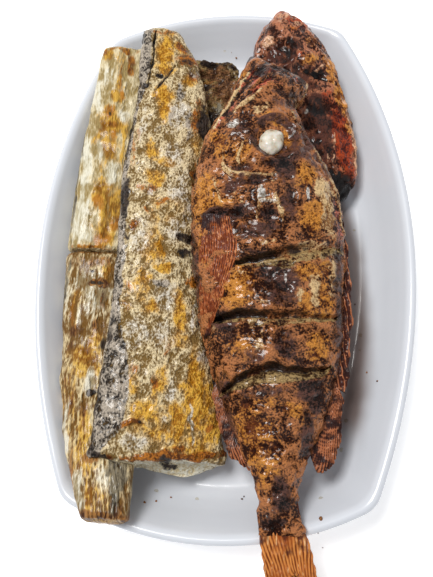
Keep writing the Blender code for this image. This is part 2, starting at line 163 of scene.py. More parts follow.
def show(name, points, faces, material, masks):
    """Links a mesh at the origin with its masks as vertex attributes, and lets it ride on the platter."""
    mesh = bpy.data.meshes.new(name)
    sizes = np.concatenate([np.full(len(group), group.shape[1]) for group in faces])
    starts = np.concatenate([[0], np.cumsum(sizes)[:-1]])
    corners = np.concatenate([group.ravel() for group in faces])
    mesh.vertices.add(len(points))
    mesh.vertices.foreach_set("co", points.astype(np.float32).ravel())
    mesh.loops.add(len(corners))
    mesh.loops.foreach_set("vertex_index", corners.astype(np.int32))
    mesh.polygons.add(len(sizes))
    mesh.polygons.foreach_set("loop_start", starts.astype(np.int32))
    mesh.update(calc_edges=True)
    for mask, values in masks.items():
        layer = mesh.attributes.new(mask, "FLOAT", "POINT")
        layer.data.foreach_set("value", values.astype(np.float32))
    mesh.shade_smooth()
    mesh.materials.append(material)
    obj = bpy.data.objects.new(name, mesh)
    bpy.context.scene.collection.objects.link(obj)
    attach(obj, "root")
    return obj


def skin(name, rings, material, masks):
    """One closed mesh through rings of points, with a fan over each end."""
    count, around = rings.shape[:2]
    points = np.vstack([rings.reshape(-1, 3), rings[0].mean(axis=0), rings[-1].mean(axis=0)])
    ring, spoke = np.meshgrid(np.arange(count - 1), np.arange(around), indexing="ij")
    here, beside = ring * around + spoke, ring * around + (spoke + 1) % around
    sides = np.stack([here, beside, beside + around, here + around], axis=-1).reshape(-1, 4)
    rim = np.arange(around)
    after = (rim + 1) % around
    last = (count - 1) * around
    first_fan = np.column_stack([after, rim, np.full(around, count * around)])
    last_fan = np.column_stack([last + rim, last + after, np.full(around, count * around + 1)])
    a, b, c = (points[sides[:, i]] for i in range(3))
    facing = np.einsum("ij,ij->", a, np.cross(b - a, c - a))
    groups = [sides, first_fan, last_fan]
    if facing < 0:
        groups = [group[:, ::-1] for group in groups]
    full = {}
    for key, value in masks.items():
        full[key] = np.append(value.ravel(), [value[0].mean(), value[-1].mean()])
    return show(name, points, groups, material, full)


PLATTER_LENGTH = 0.305
PLATTER_WIDTH = 0.200
SIDE_ARC = 0.328  # radius of the long sides' bow
END_ARC = 0.155  # radius of the ends' bow
CORNER_ARC = 0.014
CORNER_GROWTH = 0.35  # how much the corner's radius grows for each metre in from the rim
# (distance in from the rim, height), in mm, from the well, over the rim, to the foot
PLATTER_PROFILE = np.array([
    (31.0, 3.5), (25.0, 3.8), (20.0, 5.8), (15.0, 10.3), (10.0, 17.0), (6.5, 22.2),
    (4.4, 24.9), (2.2, 26.0), (0.5, 25.3), (0.0, 23.8), (0.9, 22.2),
    (3.6, 20.6), (7.5, 15.2), (12.5, 8.5), (17.6, 3.3), (23.5, 0.0),
    (30.0, 0.0), (31.0, 0.7), (38.0, 0.7), (39.0, 0.0),
])


def platter_outline(inset):
    """Four arcs joined by four tangent corner arcs, in by `inset` from the rim."""
    side, end = SIDE_ARC - inset, END_ARC - inset
    corner = CORNER_ARC + CORNER_GROWTH * inset
    side_centre = np.array([PLATTER_WIDTH / 2 - SIDE_ARC, 0.0])
    end_centre = np.array([0.0, PLATTER_LENGTH / 2 - END_ARC])
    reach_side, reach_end = side - corner, end - corner
    apart = end_centre - side_centre
    distance = np.hypot(*apart)
    direction = apart / distance
    along = (distance**2 + reach_side**2 - reach_end**2) / (2 * distance)
    off = np.sqrt(reach_side**2 - along**2)
    centre = side_centre + along * direction + off * np.array([-direction[1], direction[0]])
    side_stop = np.arctan2(*(centre - side_centre)[::-1])
    end_start = np.arctan2(*(centre - end_centre)[::-1])

    def arc(middle, radius, start, stop, count):
        angle = np.linspace(start, stop, count, endpoint=False)[:, None]
        return middle + radius * np.hstack([np.cos(angle), np.sin(angle)])

    quarter = np.vstack([
        arc(side_centre, side, 0.0, side_stop, 36),
        arc(centre, corner, side_stop, end_start, 26),
        arc(end_centre, end, end_start, np.pi / 2, 26),
    ])
    top = np.array([[0.0, end_centre[1] + end]])
    half = np.vstack([quarter, top, quarter[:0:-1] * (-1, 1)])
    return np.vstack([half, -half])


travel = np.concatenate([[0], np.cumsum(np.hypot(*np.diff(PLATTER_PROFILE, axis=0).T))])
fine_profile = flow(np.column_stack([travel, PLATTER_PROFILE]), np.linspace(0, travel[-1], 110)) * MM
platter_rings = []
for inset, height in fine_profile:
    outline = platter_outline(inset)
    platter_rings.append(np.column_stack([outline, np.full(len(outline), height)]))
# A brown band on the well beside the fish, painted shadow and painted reflection of its flank, soft-edged
# along a parabola.
# The parabola is furthest out at the band's X, and the band fades out within its half width either side of
# it.
SHADE_BAND_X = 0.0715
SHADE_BAND_BOW_Y = -0.035
SHADE_BAND_BOW = -2.2
SHADE_BAND_HALF_WIDTH = 0.0115
SHADE_BAND_MIDDLE_Y = -0.030
SHADE_BAND_HALF_LENGTH = 0.082
melamine, place = new_material("melamine")
cloudy = place.noise(0.03, 2.0)
plate_x, plate_y = (place.node("ShaderNodeSeparateXYZ", axis, {0: place}) for axis in ("X", "Y"))
from_bow = plate_y - SHADE_BAND_BOW_Y
aside = plate_x - (from_bow * from_bow * SHADE_BAND_BOW + SHADE_BAND_X)
beyond = plate_y - SHADE_BAND_MIDDLE_Y
in_width = (SHADE_BAND_HALF_WIDTH - (aside.math("ABSOLUTE", aside) + (cloudy - 0.5) * 0.006)).over(0.0045, 0.0045)
in_length = (SHADE_BAND_HALF_LENGTH - beyond.math("ABSOLUTE", beyond)).over(0.008, 0.012)
# The band's share at each point: painted shadow and painted reflection of the fish's flank on the well.
flank_shade = in_width * in_length * 0.85
finish_material(melamine, {
    "Base Color": flank_shade.mix(cloudy.mix(rgb(222, 226, 234), rgb(230, 234, 241)), rgb(104, 78, 64)),
    "Roughness": 0.2 + 0.1 * cloudy,
    "Coat Weight": 0.4,
    "Coat Roughness": 0.06,
    "Specular IOR Level": 0.45,
})
dish = skin("dish", np.array(platter_rings), melamine, {})
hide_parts("platter")


# ---- whole fish: the flank ---------------------------------------------------------------------------------
# A red fish of about 27 cm, slashed three times through the flank and fried whole until its skin crisped.
# Skin shrank back from the slashes and shows pale flesh; thin parts over the skull burnt nearly black.
def unit(vectors):
    """The vectors scaled to length 1."""
    return vectors / (np.linalg.norm(vectors, axis=-1, keepdims=True) + 1e-12)


def cloud(points, cell, seed, octaves=4):
    """Soft random values about -1 to 1: value noise on a lattice of `cell` metres, plus halved octaves."""
    rng = np.random.default_rng(seed)
    total = np.zeros(points.shape[:-1])
    for octave in range(octaves):
        lattice = rng.random((32, 32, 32)) * 2 - 1
        at = points * (2**octave / cell) + rng.random(3) * 32
        low = np.floor(at).astype(int)
        t = at - low
        t = t * t * (3 - 2 * t)
        for corner in np.ndindex(2, 2, 2):
            weight = np.prod(np.where(corner, t, 1 - t), axis=-1)
            i, j, k = np.moveaxis((low + corner) % 32, -1, 0)
            total += weight * lattice[i, j, k] / 2**octave
    return total * 1.3


def creases(points, cell, seed):
    """Sharp-crested wrinkles, 0 to 1, `cell` metres apart."""
    return np.clip(1 - 1.5 * np.abs(cloud(points, cell, seed, 3)), 0, 1) ** 1.6


def levelled(relief):
    """A relief as a share: 0.5 at its usual height, more on its crests and less in its folds."""
    return 0.5 + 0.24 * (relief - relief.mean()) / relief.std()


def step(value):
    """0 below 0, 1 above 1, and a smooth step between."""
    t = np.clip(value, 0, 1)
    return t * t * (3 - 2 * t)


def angles(upper, lower):
    """Angles round a section, with more of them on the upper half, which shows."""
    over = np.linspace(0, np.pi, upper, endpoint=False)
    return np.concatenate([over, np.linspace(np.pi, 2 * np.pi, lower, endpoint=False)])


def squared(wave, squareness):
    """A sine or cosine to the power of 2 / squareness with its sign kept, as a superellipse has it."""
    return np.sign(wave) * np.abs(wave) ** (2 / squareness)


def between_rails(left, right, half_thickness, angle, squareness):
    """Rings round the line midway between two rails, each as wide as the rails are apart."""
    side = squared(np.cos(angle), squareness)
    up = squared(np.sin(angle), squareness)
    middle, half = (left + right) / 2, (right - left) / 2
    normal = unit(np.cross(half, np.gradient(middle, axis=0)))
    normal = np.where(normal[:, 2:] < 0, -normal, normal)
    lift = normal[:, None] * (half_thickness[:, None] * up[None, :])[:, :, None]
    return middle[:, None] + half[:, None] * side[None, :, None] + lift


def outward(rings):
    """Unit normals of a closed grid of rings, facing away from the rings' middles."""
    around = np.roll(rings, -1, axis=1) - np.roll(rings, 1, axis=1)
    normal = unit(np.cross(np.gradient(rings, axis=0), around))
    away = rings - rings.mean(axis=1, keepdims=True)
    return normal * np.sign((normal * away).sum())


def raised(rings, relief, share=1.0):
    """Rings moved outward by a relief in mm, or by a share of it."""
    return rings + outward(rings) * (relief * MM)[..., None] * share


def eased(first, last, count, ease):
    """Stations from first to last, closer together near both ends the nearer `ease` is to 1."""
    share = np.linspace(0, 1, count)
    share = (1 - ease) * share + ease * (1 - np.cos(np.pi * share)) / 2
    return first + (last - first) * share


def blots(points, marks, wobble, seed):
    """Ragged patches, 0 to 1. A mark is X, Y, half width, half length in mm, turn in degrees, strength."""
    x = points[..., 0] / MM + wobble * cloud(points, 0.009, seed)
    y = points[..., 1] / MM + wobble * cloud(points, 0.009, seed + 1)
    total = np.zeros(x.shape)
    for mark_x, mark_y, half_x, half_y, turn, strength in marks:
        c, s = np.cos(np.radians(turn)), np.sin(np.radians(turn))
        u, v = (x - mark_x) * c + (y - mark_y) * s, (y - mark_y) * c - (x - mark_x) * s
        total = np.maximum(total, strength * step((1.65 - np.hypot(u / half_x, v / half_y)) / 1.3))
    return total


def beside(points, line):
    """Distance across a line, in mm and above 0 on its left, and the share of the way along it."""
    line = np.array(line, float).reshape(-1, 2)
    x, y = points[..., 0] / MM, points[..., 1] / MM
    best = np.full(x.shape, 1e9)
    across, share = np.zeros(x.shape), np.zeros(x.shape)
    lengths = np.hypot(*np.diff(line, axis=0).T)
    for start, stop, length, before in zip(line, line[1:], lengths, np.cumsum(lengths) - lengths):
        d = (stop - start) / length
        t = np.clip((x - start[0]) * d[0] + (y - start[1]) * d[1], 0, length)
        off_x, off_y = x - start[0] - t * d[0], y - start[1] - t * d[1]
        away = np.hypot(off_x, off_y)
        closer = away < best
        best = np.where(closer, away, best)
        across = np.where(closer, away * np.sign(d[0] * off_y - d[1] * off_x), across)
        share = np.where(closer, (before + t) / lengths.sum(), share)
    return across, share


def from_middle(points, middle_x, middle_y, half_x, half_y):
    """Distance from an ellipse's middle, 1 on the ellipse itself. Its sizes are in mm."""
    return np.hypot((points[..., 0] / MM - middle_x) / half_x, (points[..., 1] / MM - middle_y) / half_y)


def strokes(points, lines, wobble, seed):
    """Soft-edged strokes, 0 to 1. Each is its half width in mm, its strength, and its line's points."""
    wavy = points + (wobble * MM * cloud(points, 0.006, seed))[..., None] * np.array([1.0, 1.0, 0.0])
    worn = np.clip(1.05 + 0.5 * cloud(points, 0.0035, seed + 1), 0.4, 1.5)
    total = np.zeros(points.shape[:-1])
    for half, strength, line in lines:
        across, share = beside(wavy, line)
        taper = half * (0.45 + 0.55 * np.sin(np.pi * np.clip(share, 0.05, 0.95))) * worn
        total = np.maximum(total, strength * step(1.5 - np.abs(across) / taper))
    return total


# (Y, belly X, back X, middle height, half thickness), in mm, snout to tail root
RED_FISH = (
    (96.5, 14.5, 18.5, 45.0, 2.5), (92.0, 12.8, 24.0, 45.0, 6.0), (84.0, 10.5, 37.0, 44.8, 9.4),
    (76.5, 7.5, 46.5, 44.4, 11.6), (70.0, 5.0, 44.0, 44.2, 13.4), (62.0, 1.5, 39.0, 43.8, 15.4),
    (50.0, -5.0, 43.5, 43.0, 17.6), (34.0, -11.0, 50.5, 41.0, 19.2), (17.0, -14.0, 58.5, 37.8, 20.0),
    (0.0, -15.0, 62.0, 34.0, 20.5), (-16.0, -14.5, 62.5, 30.6, 20.5), (-34.0, -12.0, 61.5, 27.6, 20.5),
    (-56.0, -8.0, 60.0, 25.6, 19.6), (-76.0, -2.5, 57.0, 25.0, 17.4), (-92.0, 3.5, 52.5, 25.2, 14.6),
    (-108.0, 10.0, 45.0, 26.0, 11.6), (-122.0, 16.5, 38.5, 27.0, 8.8), (-134.0, 19.5, 36.5, 27.8, 5.4),
    (-141.0, 19.4, 38.2, 28.3, 3.4), (-147.0, 20.2, 39.6, 28.6, 1.9),
)
FISH_SQUARENESS = 2.1
FISH_SPOKES = angles(150, 50)
FISH_TOP = 60.7  # mm: the flank's highest lumps are levelled off here
SOCKET = (28.0, 34.5, 10.5, 11.5)  # the eye socket's X and Y, half width and half length, mm
# (half width, depth, how far its left and right ends gape open, deep and in painted shade, how much flesh
# they show, its line), in mm
SLASHES = (
    (4.7, 6.0, 1.0, 0.1, 0.5, 1.0, (8, -28, 20, -28, 33, -25, 45, -21.5, 60, -17.5)),
    (4.2, 6.5, 1.0, 0.3, 0.35, 0.8, (-4, -53, 8, -54, 25, -54.5, 42, -54, 57, -52)),
    (4.0, 6.0, 0.8, 0.5, 1.0, 0.75, (3, -87, 11, -83.5, 20, -80, 30, -79.5, 41, -79, 53, -75.5)),
)


def flank(table, count, angle, squareness):
    """Rings of a fish's flank lying level: rails along the belly and the back at the middle height."""
    y = eased(table[0][0], table[-1][0], count, 0.4)
    belly, back, height, half = (flow(table, y) * MM).T
    left, right = np.column_stack([belly, y * MM, height]), np.column_stack([back, y * MM, height])
    return between_rails(left, right, half, angle, squareness)


def upper_face(rings, angle):
    """1 on the upper half of the rings, fading to 0 at their rails."""
    return step(np.sin(angle) * 3)[None, :] * np.ones(rings.shape[:2])


def past_snout(rings, part):
    """0 at the snout, rising to 1 over the first 1 / part of the length."""
    return step(np.linspace(0, 1, len(rings)) * part)[:, None, None]


fish = flank(RED_FISH, 470, FISH_SPOKES, FISH_SQUARENESS)
plan = fish.copy()
top = upper_face(fish, FISH_SPOKES)
flesh = np.zeros(fish.shape[:2])
gap_shade = np.zeros(fish.shape[:2])
sink = np.zeros(fish.shape[:2])
for number, (half, depth, gape_left, gape_right, bare_left, bare_right, line) in enumerate(SLASHES):
    across, share = beside(plan, line)
    across = across + 0.8 * cloud(plan, 0.009, 20 + number)
    width = half * np.sin(np.pi * np.clip(share, 0.02, 0.98)) ** 0.45
    width = width * (1 + 0.35 * cloud(plan, 0.012, 25 + number))
    bare = bare_left + (bare_right - bare_left) * share
    s = across / width
    gape = gape_left + (gape_right - gape_left) * share
    # s runs across the cut: the lip towards the tail lifts a little, bared flesh slopes down from it, and
    # the side towards the head is the deepest
    inside = np.interp(s, [-1.25, -1.0, -0.75, -0.1, 0.3, 0.6, 1.0], [-0.06, 0.0, 0.3, 0.42, 1.0, 0.9, 0.0])
    inside = np.where(s < -1.25, 0.0, inside) * np.where((share > 0.004) & (share < 0.996), 1.0, 0.0)
    sink = np.maximum(sink, depth * inside * (0.4 + 0.6 * gape) * top)
    flesh = np.maximum(flesh, bare * np.interp(s, [-1.3, -0.7, 0.3, 0.8], [0, 1, 1, 0]))
    # The open part of each cut is painted dark: painted shade in the gap.
    shadowed = np.interp(s, [0.05, 0.35, 0.85, 1.1], [0, 1, 1, 0]) * np.sin(np.pi * share) ** 0.2
    gap_shade = np.maximum(gap_shade, gape * shadowed)
bones = strokes(plan, (
    (1.1, 1.0, (3, 21, 6, 16.5, 13, 14.5, 26, 13.5)), (0.9, 0.9, (12, 31, 10, 22, 12, 16)),
    (0.8, 0.8, (2, 28, 3, 19, 8, 13)), (0.8, 0.8, (-2, 15, 1, 8, 2, 1)),
    (1.0, 1.0, (20, 7, 20, 0, 19, -8)), (1.0, 1.0, (28, 4, 30, -2, 31, -9)),
    (0.8, 0.7, (20, 0, 25, 1.5, 30, 0)), (0.7, 0.6, (6, 12, 8, 3, 12, 0)),
    (1.2, 0.8, (21, 63, 16, 57, 8, 50)), (1.1, 0.9, (15, 80, 9, 66, 3, 53, -2, 43)),
    (0.7, 0.5, (9, 12, 20, 11, 27, 10)),
), 0.5, 31)
ridge = strokes(plan, ((1.0, 1.0, (36, 50, 40, 42, 45, 34, 51, 26, 56, 17, 60, 6, 62, -8)),), 0.3, 33)
mouth = strokes(plan, (
    (1.3, 1.0, (18, 82, 13, 70, 8, 60, 2, 50)), (0.9, 0.8, (24, 74, 17, 64, 11, 56)),
), 0.4, 35)
hollows = blots(plan, (
    (13, 17.5, 4.5, 1.8, 0, 1), (6, 9, 3, 3, 0, 1), (18, 10.5, 7, 1.8, 0, 0.9), (24.5, -6, 4.0, 4.5, 0, 1),
    (35, 4, 3, 5, 10, 0.7), (4, -4, 9, 2.6, -8, 0.9), (33, 20, 4, 7, 0, 0.4),
), 1.0, 41)
from_eye = from_middle(plan, *SOCKET)
socket = np.interp(from_eye, [0, 0.75, 0.96, 1.14, 1.4], [2.8, 3.0, 1.4, -1.0, 0])
lumps = blots(plan, (
    (44, 70, 3.2, 3.5, 0, 1), (42, 62, 3.0, 3.0, 20, 1), (36, 60, 3.4, 2.6, 0, 0.9),
    (33, 73, 4.5, 4.0, 0, 0.9), (25, 80, 3.5, 5, 0, 0.7), (38, 67, 3.0, 3.0, 0, 0.8),
    (17, -20, 4, 2.4, 10, 0.9), (27, -19, 4, 2.2, 10, 0.9), (24, -47, 4, 2.5, 0, 0.7),
    (39, -37, 3, 6, 0, 0.6), (12, -88, 5, 2, 20, 0.5),
), 1.4, 43)
jaw_across = beside(plan, (18, 88, 11, 74, 3, 56, -6, 36, -10, 18))[0]
jaw_lines = np.sin(0.95 * jaw_across + 1.6 * cloud(plan, 0.014, 54)) * step((plan[..., 1] / MM - 38) / 14)
jaw_lines = jaw_lines * step((20 - np.abs(jaw_across)) / 8)
lengthwise = creases(plan * np.array([0.5, 1.15, 0.8]), 0.0085, 53)
wrinkle = 0.75 * lengthwise + 0.35 * cloud(plan, 0.0032, 52, 3) + 0.45 * jaw_lines
relief = cloud(plan, 0.013, 51) * 0.5 + wrinkle + bones * 0.9 * top + ridge * 0.9 + lumps * 1.3 * top
relief -= (mouth * 1.6 + hollows * 1.7 + socket) * top
# The crust's height as a share: the skin shader paints shade in its folds and a highlight on its crests from
# it.
high = levelled(wrinkle + 0.25 * cloud(plan, 0.013, 51)) + 0.25 * bones
fish = raised(fish, relief, past_snout(fish, 12))
fish[..., 2] -= sink * MM
fish[..., 2] = np.minimum(fish[..., 2], FISH_TOP * MM)
gold = blots(plan, (
    (-7, 5, 7, 13, 0, 0.95), (3, 3, 7, 3, 0, 0.8), (-7, -15, 2.5, 14, 0, 0.6), (42, 15, 5, 7, 0, 0.9),
    (48, -6, 9, 8, 0, 0.95), (41, -6, 4, 6, 0, 0.8), (10, -39, 9, 9, 0, 0.95), (8, -46, 9, 4, 0, 0.8),
    (45, -32, 9, 4, 10, 0.9), (51, -44, 5, 9, 0, 0.8), (41, -47, 4, 6, 0, 0.8), (46, -66, 6, 7, 0, 0.95),
    (12, -66, 10, 6, 0, 0.45), (17, -108, 6, 12, 15, 0.8), (14, -97, 7, 6, 0, 0.6),
    (36, -96, 5, 5, 0, 0.75), (24, -94, 8, 4, 0, 0.45), (22, -120, 4, 8, 0, 0.6), (0, 33, 4, 12, 15, 0.8),
    (12, 25, 7, 7, 0, 0.7), (6, 34, 5, 6, 0, 0.5), (29, 45, 6, 3, 0, 0.8), (34, 33, 2.6, 8, 0, 1),
    (31, 26.5, 5, 2.6, 15, 1), (30, -28, 5, 2, 0, 0.7), (24, -113, 5, 14, 5, 0.5), (43, 63, 4, 5, 0, 0.5),
    (12, 84, 3, 7, 15, 0.7),
), 2.0, 61)
cream = blots(plan, (
    (52, 6, 4.0, 9, 0, 1), (54, -6, 3.6, 8, 0, 0.8), (46, -42, 3.4, 6.5, 0, 0.95),
    (56, -34, 3, 10, 0, 0.75), (20, -66, 3, 5, 0, 0.6), (45, -19, 9, 2, 12, 0.6),
    (14, -34, 4, 1.8, -15, 0.6), (24, -19, 5, 1.2, 12, 0.6), (24, -48, 5, 1.2, -15, 0.6),
    (38, -43, 1.6, 3, 0, 0.6), (38, 63, 5, 1.4, 20, 0.6), (45, 72, 1.2, 4, 0, 0.7),
    (-1, -56, 2.2, 4, 20, 0.8), (21, 50, 5, 3, 25, 0.6), (17, -57, 4, 2.4, 0, 0.7),
    (30, 14, 5, 1.2, 0, 0.5),
), 1.3, 65)
# white: pale marks, the patch by the jaw bare white flesh and the small streaks painted highlights where the
# crust glints.
white = blots(plan, (
    (8, 43.5, 3.2, 2.6, 25, 0.7), (21.5, 4, 2.0, 4.2, 0, 0.8), (6, 3.5, 2.6, 1.2, -25, 0.6),
    (44, 6, 0.7, 4.2, -8, 0.8), (32, -36, 0.9, 3, 0, 0.6), (25, 0, 4.0, 1.0, 0, 0.6),
    (53, 4, 1.2, 5, 0, 0.4), (64, -57, 1, 2, 0, 0.6),
), 0.8, 71)
# dark: charred skin; the thin marks along the cuts and the spot at the middle cut's left end are painted
# shade in them.
dark = blots(plan, (
    (2, -3, 10, 3, -8, 1), (20, -13, 11, 4, 0, 0.75), (30, -40, 8, 11, 0, 0.85), (22, -34, 5, 3, 0, 0.8),
    (32, -66, 6, 7, 0, 0.75), (17, -73, 5, 3, 0, 0.5), (1, -86, 6, 4, -15, 0.9), (43, -86, 5, 8, 0, 0.9),
    (41, -106, 3, 12, 0, 0.75), (28, -131, 4, 7, 0, 0.95), (25, -142, 6, 3, 0, 0.8), (4, -55, 6.5, 5, 0, 1),
    (33, 17, 5, 8, 0, 0.8), (24, 20, 7, 3, 0, 0.6), (34, -1, 4, 7, 10, 0.85), (12, -4, 7, 4, 0, 0.7),
    (14, 12, 9, 4, 0, 0.6), (10, 38, 3, 6, -35, 0.75), (15, 45, 3, 7, -35, 0.5), (23, 78, 4, 8, 0, 0.75),
    (35, 82, 9, 4, 0, 0.7), (33, 55, 9, 4, 0, 0.55), (38, 45, 3, 7, 25, 0.5), (22, -25, 10, 2, 0, 0.8),
    (6, -98, 3, 12, 12, 0.7), (58, -60, 3.5, 30, 2, 0.7), (59, -30, 2.5, 18, 0, 0.6),
    (30, -88, 8, 2, 0, 0.5), (48, -14, 8, 2, 0, 0.45), (43, 24, 4, 8, 20, 0.55), (43, 41, 3, 9, 25, 0.7),
    (51, 24, 3, 8, 25, 0.5), (34, 62, 6, 3, 0, 0.6), (46, 37, 6, 7, 25, 0.85), (38, 28, 9, 6, 10, 0.85),
    (16, 33, 3, 9, 10, 0.5), (45, -90, 4, 9, 0, 0.9), (20, -90, 9, 2, 0, 0.5), (-12, -30, 3, 22, 4, 0.8),
    (8, -60, 3, 4, 0, 0.6),
), 1.8, 75)
burnt_ring = np.interp(np.abs(from_eye - 0.97), [0, 0.1, 0.22], [1, 0.95, 0])
burnt_ring = burnt_ring * (0.75 + 0.25 * cloud(plan, 0.006, 77))
# The hollows are darkened too: painted shade in their dips.
dark = np.maximum(dark, np.maximum(burnt_ring, hollows * 0.95))
red = blots(plan, (
    (20, 74, 2, 7, -25, 0.8), (5, 72, 2.5, 14, -22, 0.4), (59, -5, 2, 12, 8, 0.6), (30, 24, 8, 4, 0, 0.35),
    (-10, 0, 4, 10, 0, 0.3), (28, 68, 5, 5, 0, 0.4), (40, 75, 4, 3, 0, 0.4),
), 1.0, 81)
red = np.maximum(red, strokes(plan, (
    (1.5, 1.0, (26, 72, 20, 66, 14, 60)), (2.6, 0.75, (17, 82, 10, 67, 4, 54, -2, 43)),
    (1.0, 0.7, (30, 80, 22, 76)),
), 0.3, 83))
cream = np.maximum(cream, np.maximum(bones, ridge * 0.75))
# black: the painted shade in the cuts, and the dark mouth line.
black = np.maximum(gap_shade, mouth * 0.9)


def fried_material(name, skins, threads=0.0, wet=0.5, crisp=1.0):
    """Fried skin. Each of skins is a mask (none for the first, which lies everywhere), the colour in its
    folds, the colour on its crests, and how softly it meets what lies under it. The fold colour carries
    painted shade and the crest colour a painted highlight, mixed by the mask `high`, the crust's height. The
    crust's grain is drawn out along the piece by threads, shines with oil by wet, and is speckled by crisp."""
    material, place = new_material(name)
    fine = place.noise(0.0010, 3.0, (1.0, 1.0 + threads, 1.0))
    grain = place.noise(0.0026, 4.0, (1.0, 1.0 + 2.0 * threads, 1.0))
    broad = place.noise(0.011, 3.0)
    high = place.mask("high") + (fine - 0.5) * (2.4 * crisp)
    high = high + (grain - 0.5) * 1.6 + (broad - 0.5) * 1.1
    ragged = (fine - 0.5) * 0.8 + (grain - 0.5) * 2.1 + (broad - 0.5) * 1.1
    colour = None
    for mask, shaded_fold, lit_crest, soft in skins:
        # Crust colour with painted shade in the folds and a painted highlight on the crests, by the crust's
        # height.
        tone = high.over(0.5, 0.42).mix(rgb(*shaded_fold), rgb(*lit_crest))
        if mask:
            there = place.mask(mask)
            tone = (there + ragged * there.over(0.25, 0.25)).over(0.5, soft).mix(colour, tone)
        colour = tone
    finish_material(material, {
        "Base Color": colour,
        "Roughness": 0.3 + 0.3 * grain,
        "Coat Weight": (broad + 0.7 * (grain - 0.5)).over(0.46, 0.1) * wet,
        "Coat Roughness": 0.15,
        "Specular IOR Level": 0.14,
    }, high, 0.0008)
    return material


fried = fried_material("fried_red_skin_look", (
    (None, (44, 16, 6), (194, 124, 74), 0),
    ("red", (96, 22, 8), (222, 116, 84), 0.26),
    ("gold", (104, 46, 4), (222, 148, 62), 0.3),
    ("cream", (150, 98, 46), (238, 202, 148), 0.24),
    ("dark", (12, 4, 2), (104, 66, 54), 0.28),
    ("flesh", (60, 38, 16), (186, 154, 102), 0.3),
    ("gap_shade", (18, 8, 5), (58, 34, 22), 0.24),
    ("white", (160, 148, 132), (240, 236, 230), 0.26),
), 0.0, 0.6)
whole = skin("red_fish_flank", fish, fried, {
    "gold": gold, "cream": cream, "dark": dark, "red": red, "flesh": flesh, "gap_shade": black, "white": white,
    "high": high,
})
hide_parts("red_fish")


# ---- whole fish: the tail fin ------------------------------------------------------------------------------
# The tail fin stood over the rim in the oil's heat and dried to a stiff fan of amber rays.
# Its rays fork towards the end, and the end is cleft in the middle.
TAIL_FIN = (
    (-128.0, 20.5, 35.5, 27.6, 3.4), (-138.0, 19.0, 37.5, 28.2, 2.2), (-149.0, 20.0, 40.5, 28.6, 1.5),
    (-161.0, 21.5, 43.5, 28.8, 1.3), (-174.0, 22.5, 47.0, 28.8, 1.1),
)
FIN_SQUARENESS = 2.1
TAIL_RAYS = 6  # on each side of the middle, before they fork
FORKED_RAYS = 4  # added on each side where they fork
CLEFT = 0.013  # how far the end's middle is set back
FRAY = 0.0016  # how far the ends of the rays stand out past the web between them
TAIL_END = -0.1741
tail = flank(TAIL_FIN, 130, angles(110, 110), FIN_SQUARENESS)
tail_share = np.linspace(0, 1, len(tail))[:, None]
tail_middle = tail[..., 0].mean(axis=1, keepdims=True)
spread = (tail[..., 0] - tail_middle) / (np.ptp(tail[..., 0], axis=1)[:, None] / 2)
ray_count = TAIL_RAYS + FORKED_RAYS * step(tail_share * 2 - 0.7)
rays = np.abs(np.sin(np.pi * (spread * ray_count + 0.25 * cloud(tail, 0.02, 92))))
rays = rays * step(tail_share * 6 - 1.2)
tail[..., 1] += CLEFT * tail_share**3 * (1 - np.abs(spread))
tail[..., 1] += FRAY * (1 - rays) * tail_share**8
tail_normal = outward(tail)
tail = tail + tail_normal * ((0.45 * (rays - 0.5) * step(tail_share * 5 - 0.5)) * MM)[..., None]
tail = tail + tail_normal * (0.3 * cloud(tail, 0.005, 91) * MM)[..., None]
tail[..., 1] = np.maximum(tail[..., 1], TAIL_END)

amber, place = new_material("fried_fin_look")
long_grain = place.noise(0.0012, 3.0, (1.0, 9.0, 1.0))
fine = place.noise(0.0014, 3.0)
broad = place.noise(0.009, 3.0, (1.0, 2.0, 1.0))
colour = (place.mask("ray") + 1.9 * (long_grain - 0.5)).over(0.5, 0.5)
colour = colour.mix(rgb(116, 46, 6), rgb(226, 146, 72))
colour = (broad + 0.8 * (long_grain - 0.5)).over(0.55, 0.14).mix(colour, rgb(160, 78, 22))
colour = (long_grain + 0.3 * (fine - 0.5)).over(0.64, 0.06).mix(colour, rgb(230, 178, 122))
colour = (place.mask("base") + 1.9 * (place.noise(0.004) - 0.5)).over(0.5, 0.3).mix(colour, rgb(78, 32, 14))
finish_material(amber, {
    "Base Color": colour,
    "Roughness": 0.28 + 0.25 * fine,
    "Coat Weight": 0.2,
    "Specular IOR Level": 0.15,
    "Coat Roughness": 0.2,
}, long_grain + 0.4 * fine, 0.0006)
tail_base = np.interp(tail[..., 1] / MM, [-156, -147, -138], [0.0, 0.45, 1.0])
skin("red_fish_tail", tail, amber, {"ray": rays, "base": tail_base})


# ---- whole fish: the fins of the back and the vent ---------------------------------------------------------
# Folded fins fried stiff along the edges: hard spines lying flat in front, soft rays behind them.
# They are thin enough to have turned dark red, with the spines and ray tips left pale.
# (root X, root Y, tip X, tip Y, height, half thickness), in mm, front to rear
SPINY_FIN = (
    (57.0, 6.0, 62.5, 3.0, 33.5, 1.4), (57.0, -15.0, 65.5, -20.0, 30.6, 1.9),
    (57.0, -40.0, 66.0, -45.0, 27.0, 2.0), (54.0, -65.0, 63.5, -70.0, 25.4, 1.9),
    (51.0, -80.0, 61.0, -86.0, 25.0, 1.6),
)
SOFT_FIN = (
    (53.0, -74.0, 59.5, -90.0, 25.0, 1.5), (48.0, -84.0, 57.5, -107.0, 25.0, 1.3),
    (44.0, -92.0, 53.0, -118.0, 25.0, 1.2), (38.0, -101.0, 46.0, -122.5, 25.2, 1.1),
)
VENT_FIN = (
    (1.0, -74.0, -3.0, -88.0, 24.6, 1.5), (6.0, -84.0, 1.5, -104.0, 24.8, 1.3),
    (11.0, -93.0, 6.5, -116.0, 25.2, 1.2), (17.0, -101.0, 15.5, -122.5, 25.6, 1.1),
)
dark_fin, place = new_material("fried_dark_fin_look")
fine = place.noise(0.0012, 4.0)
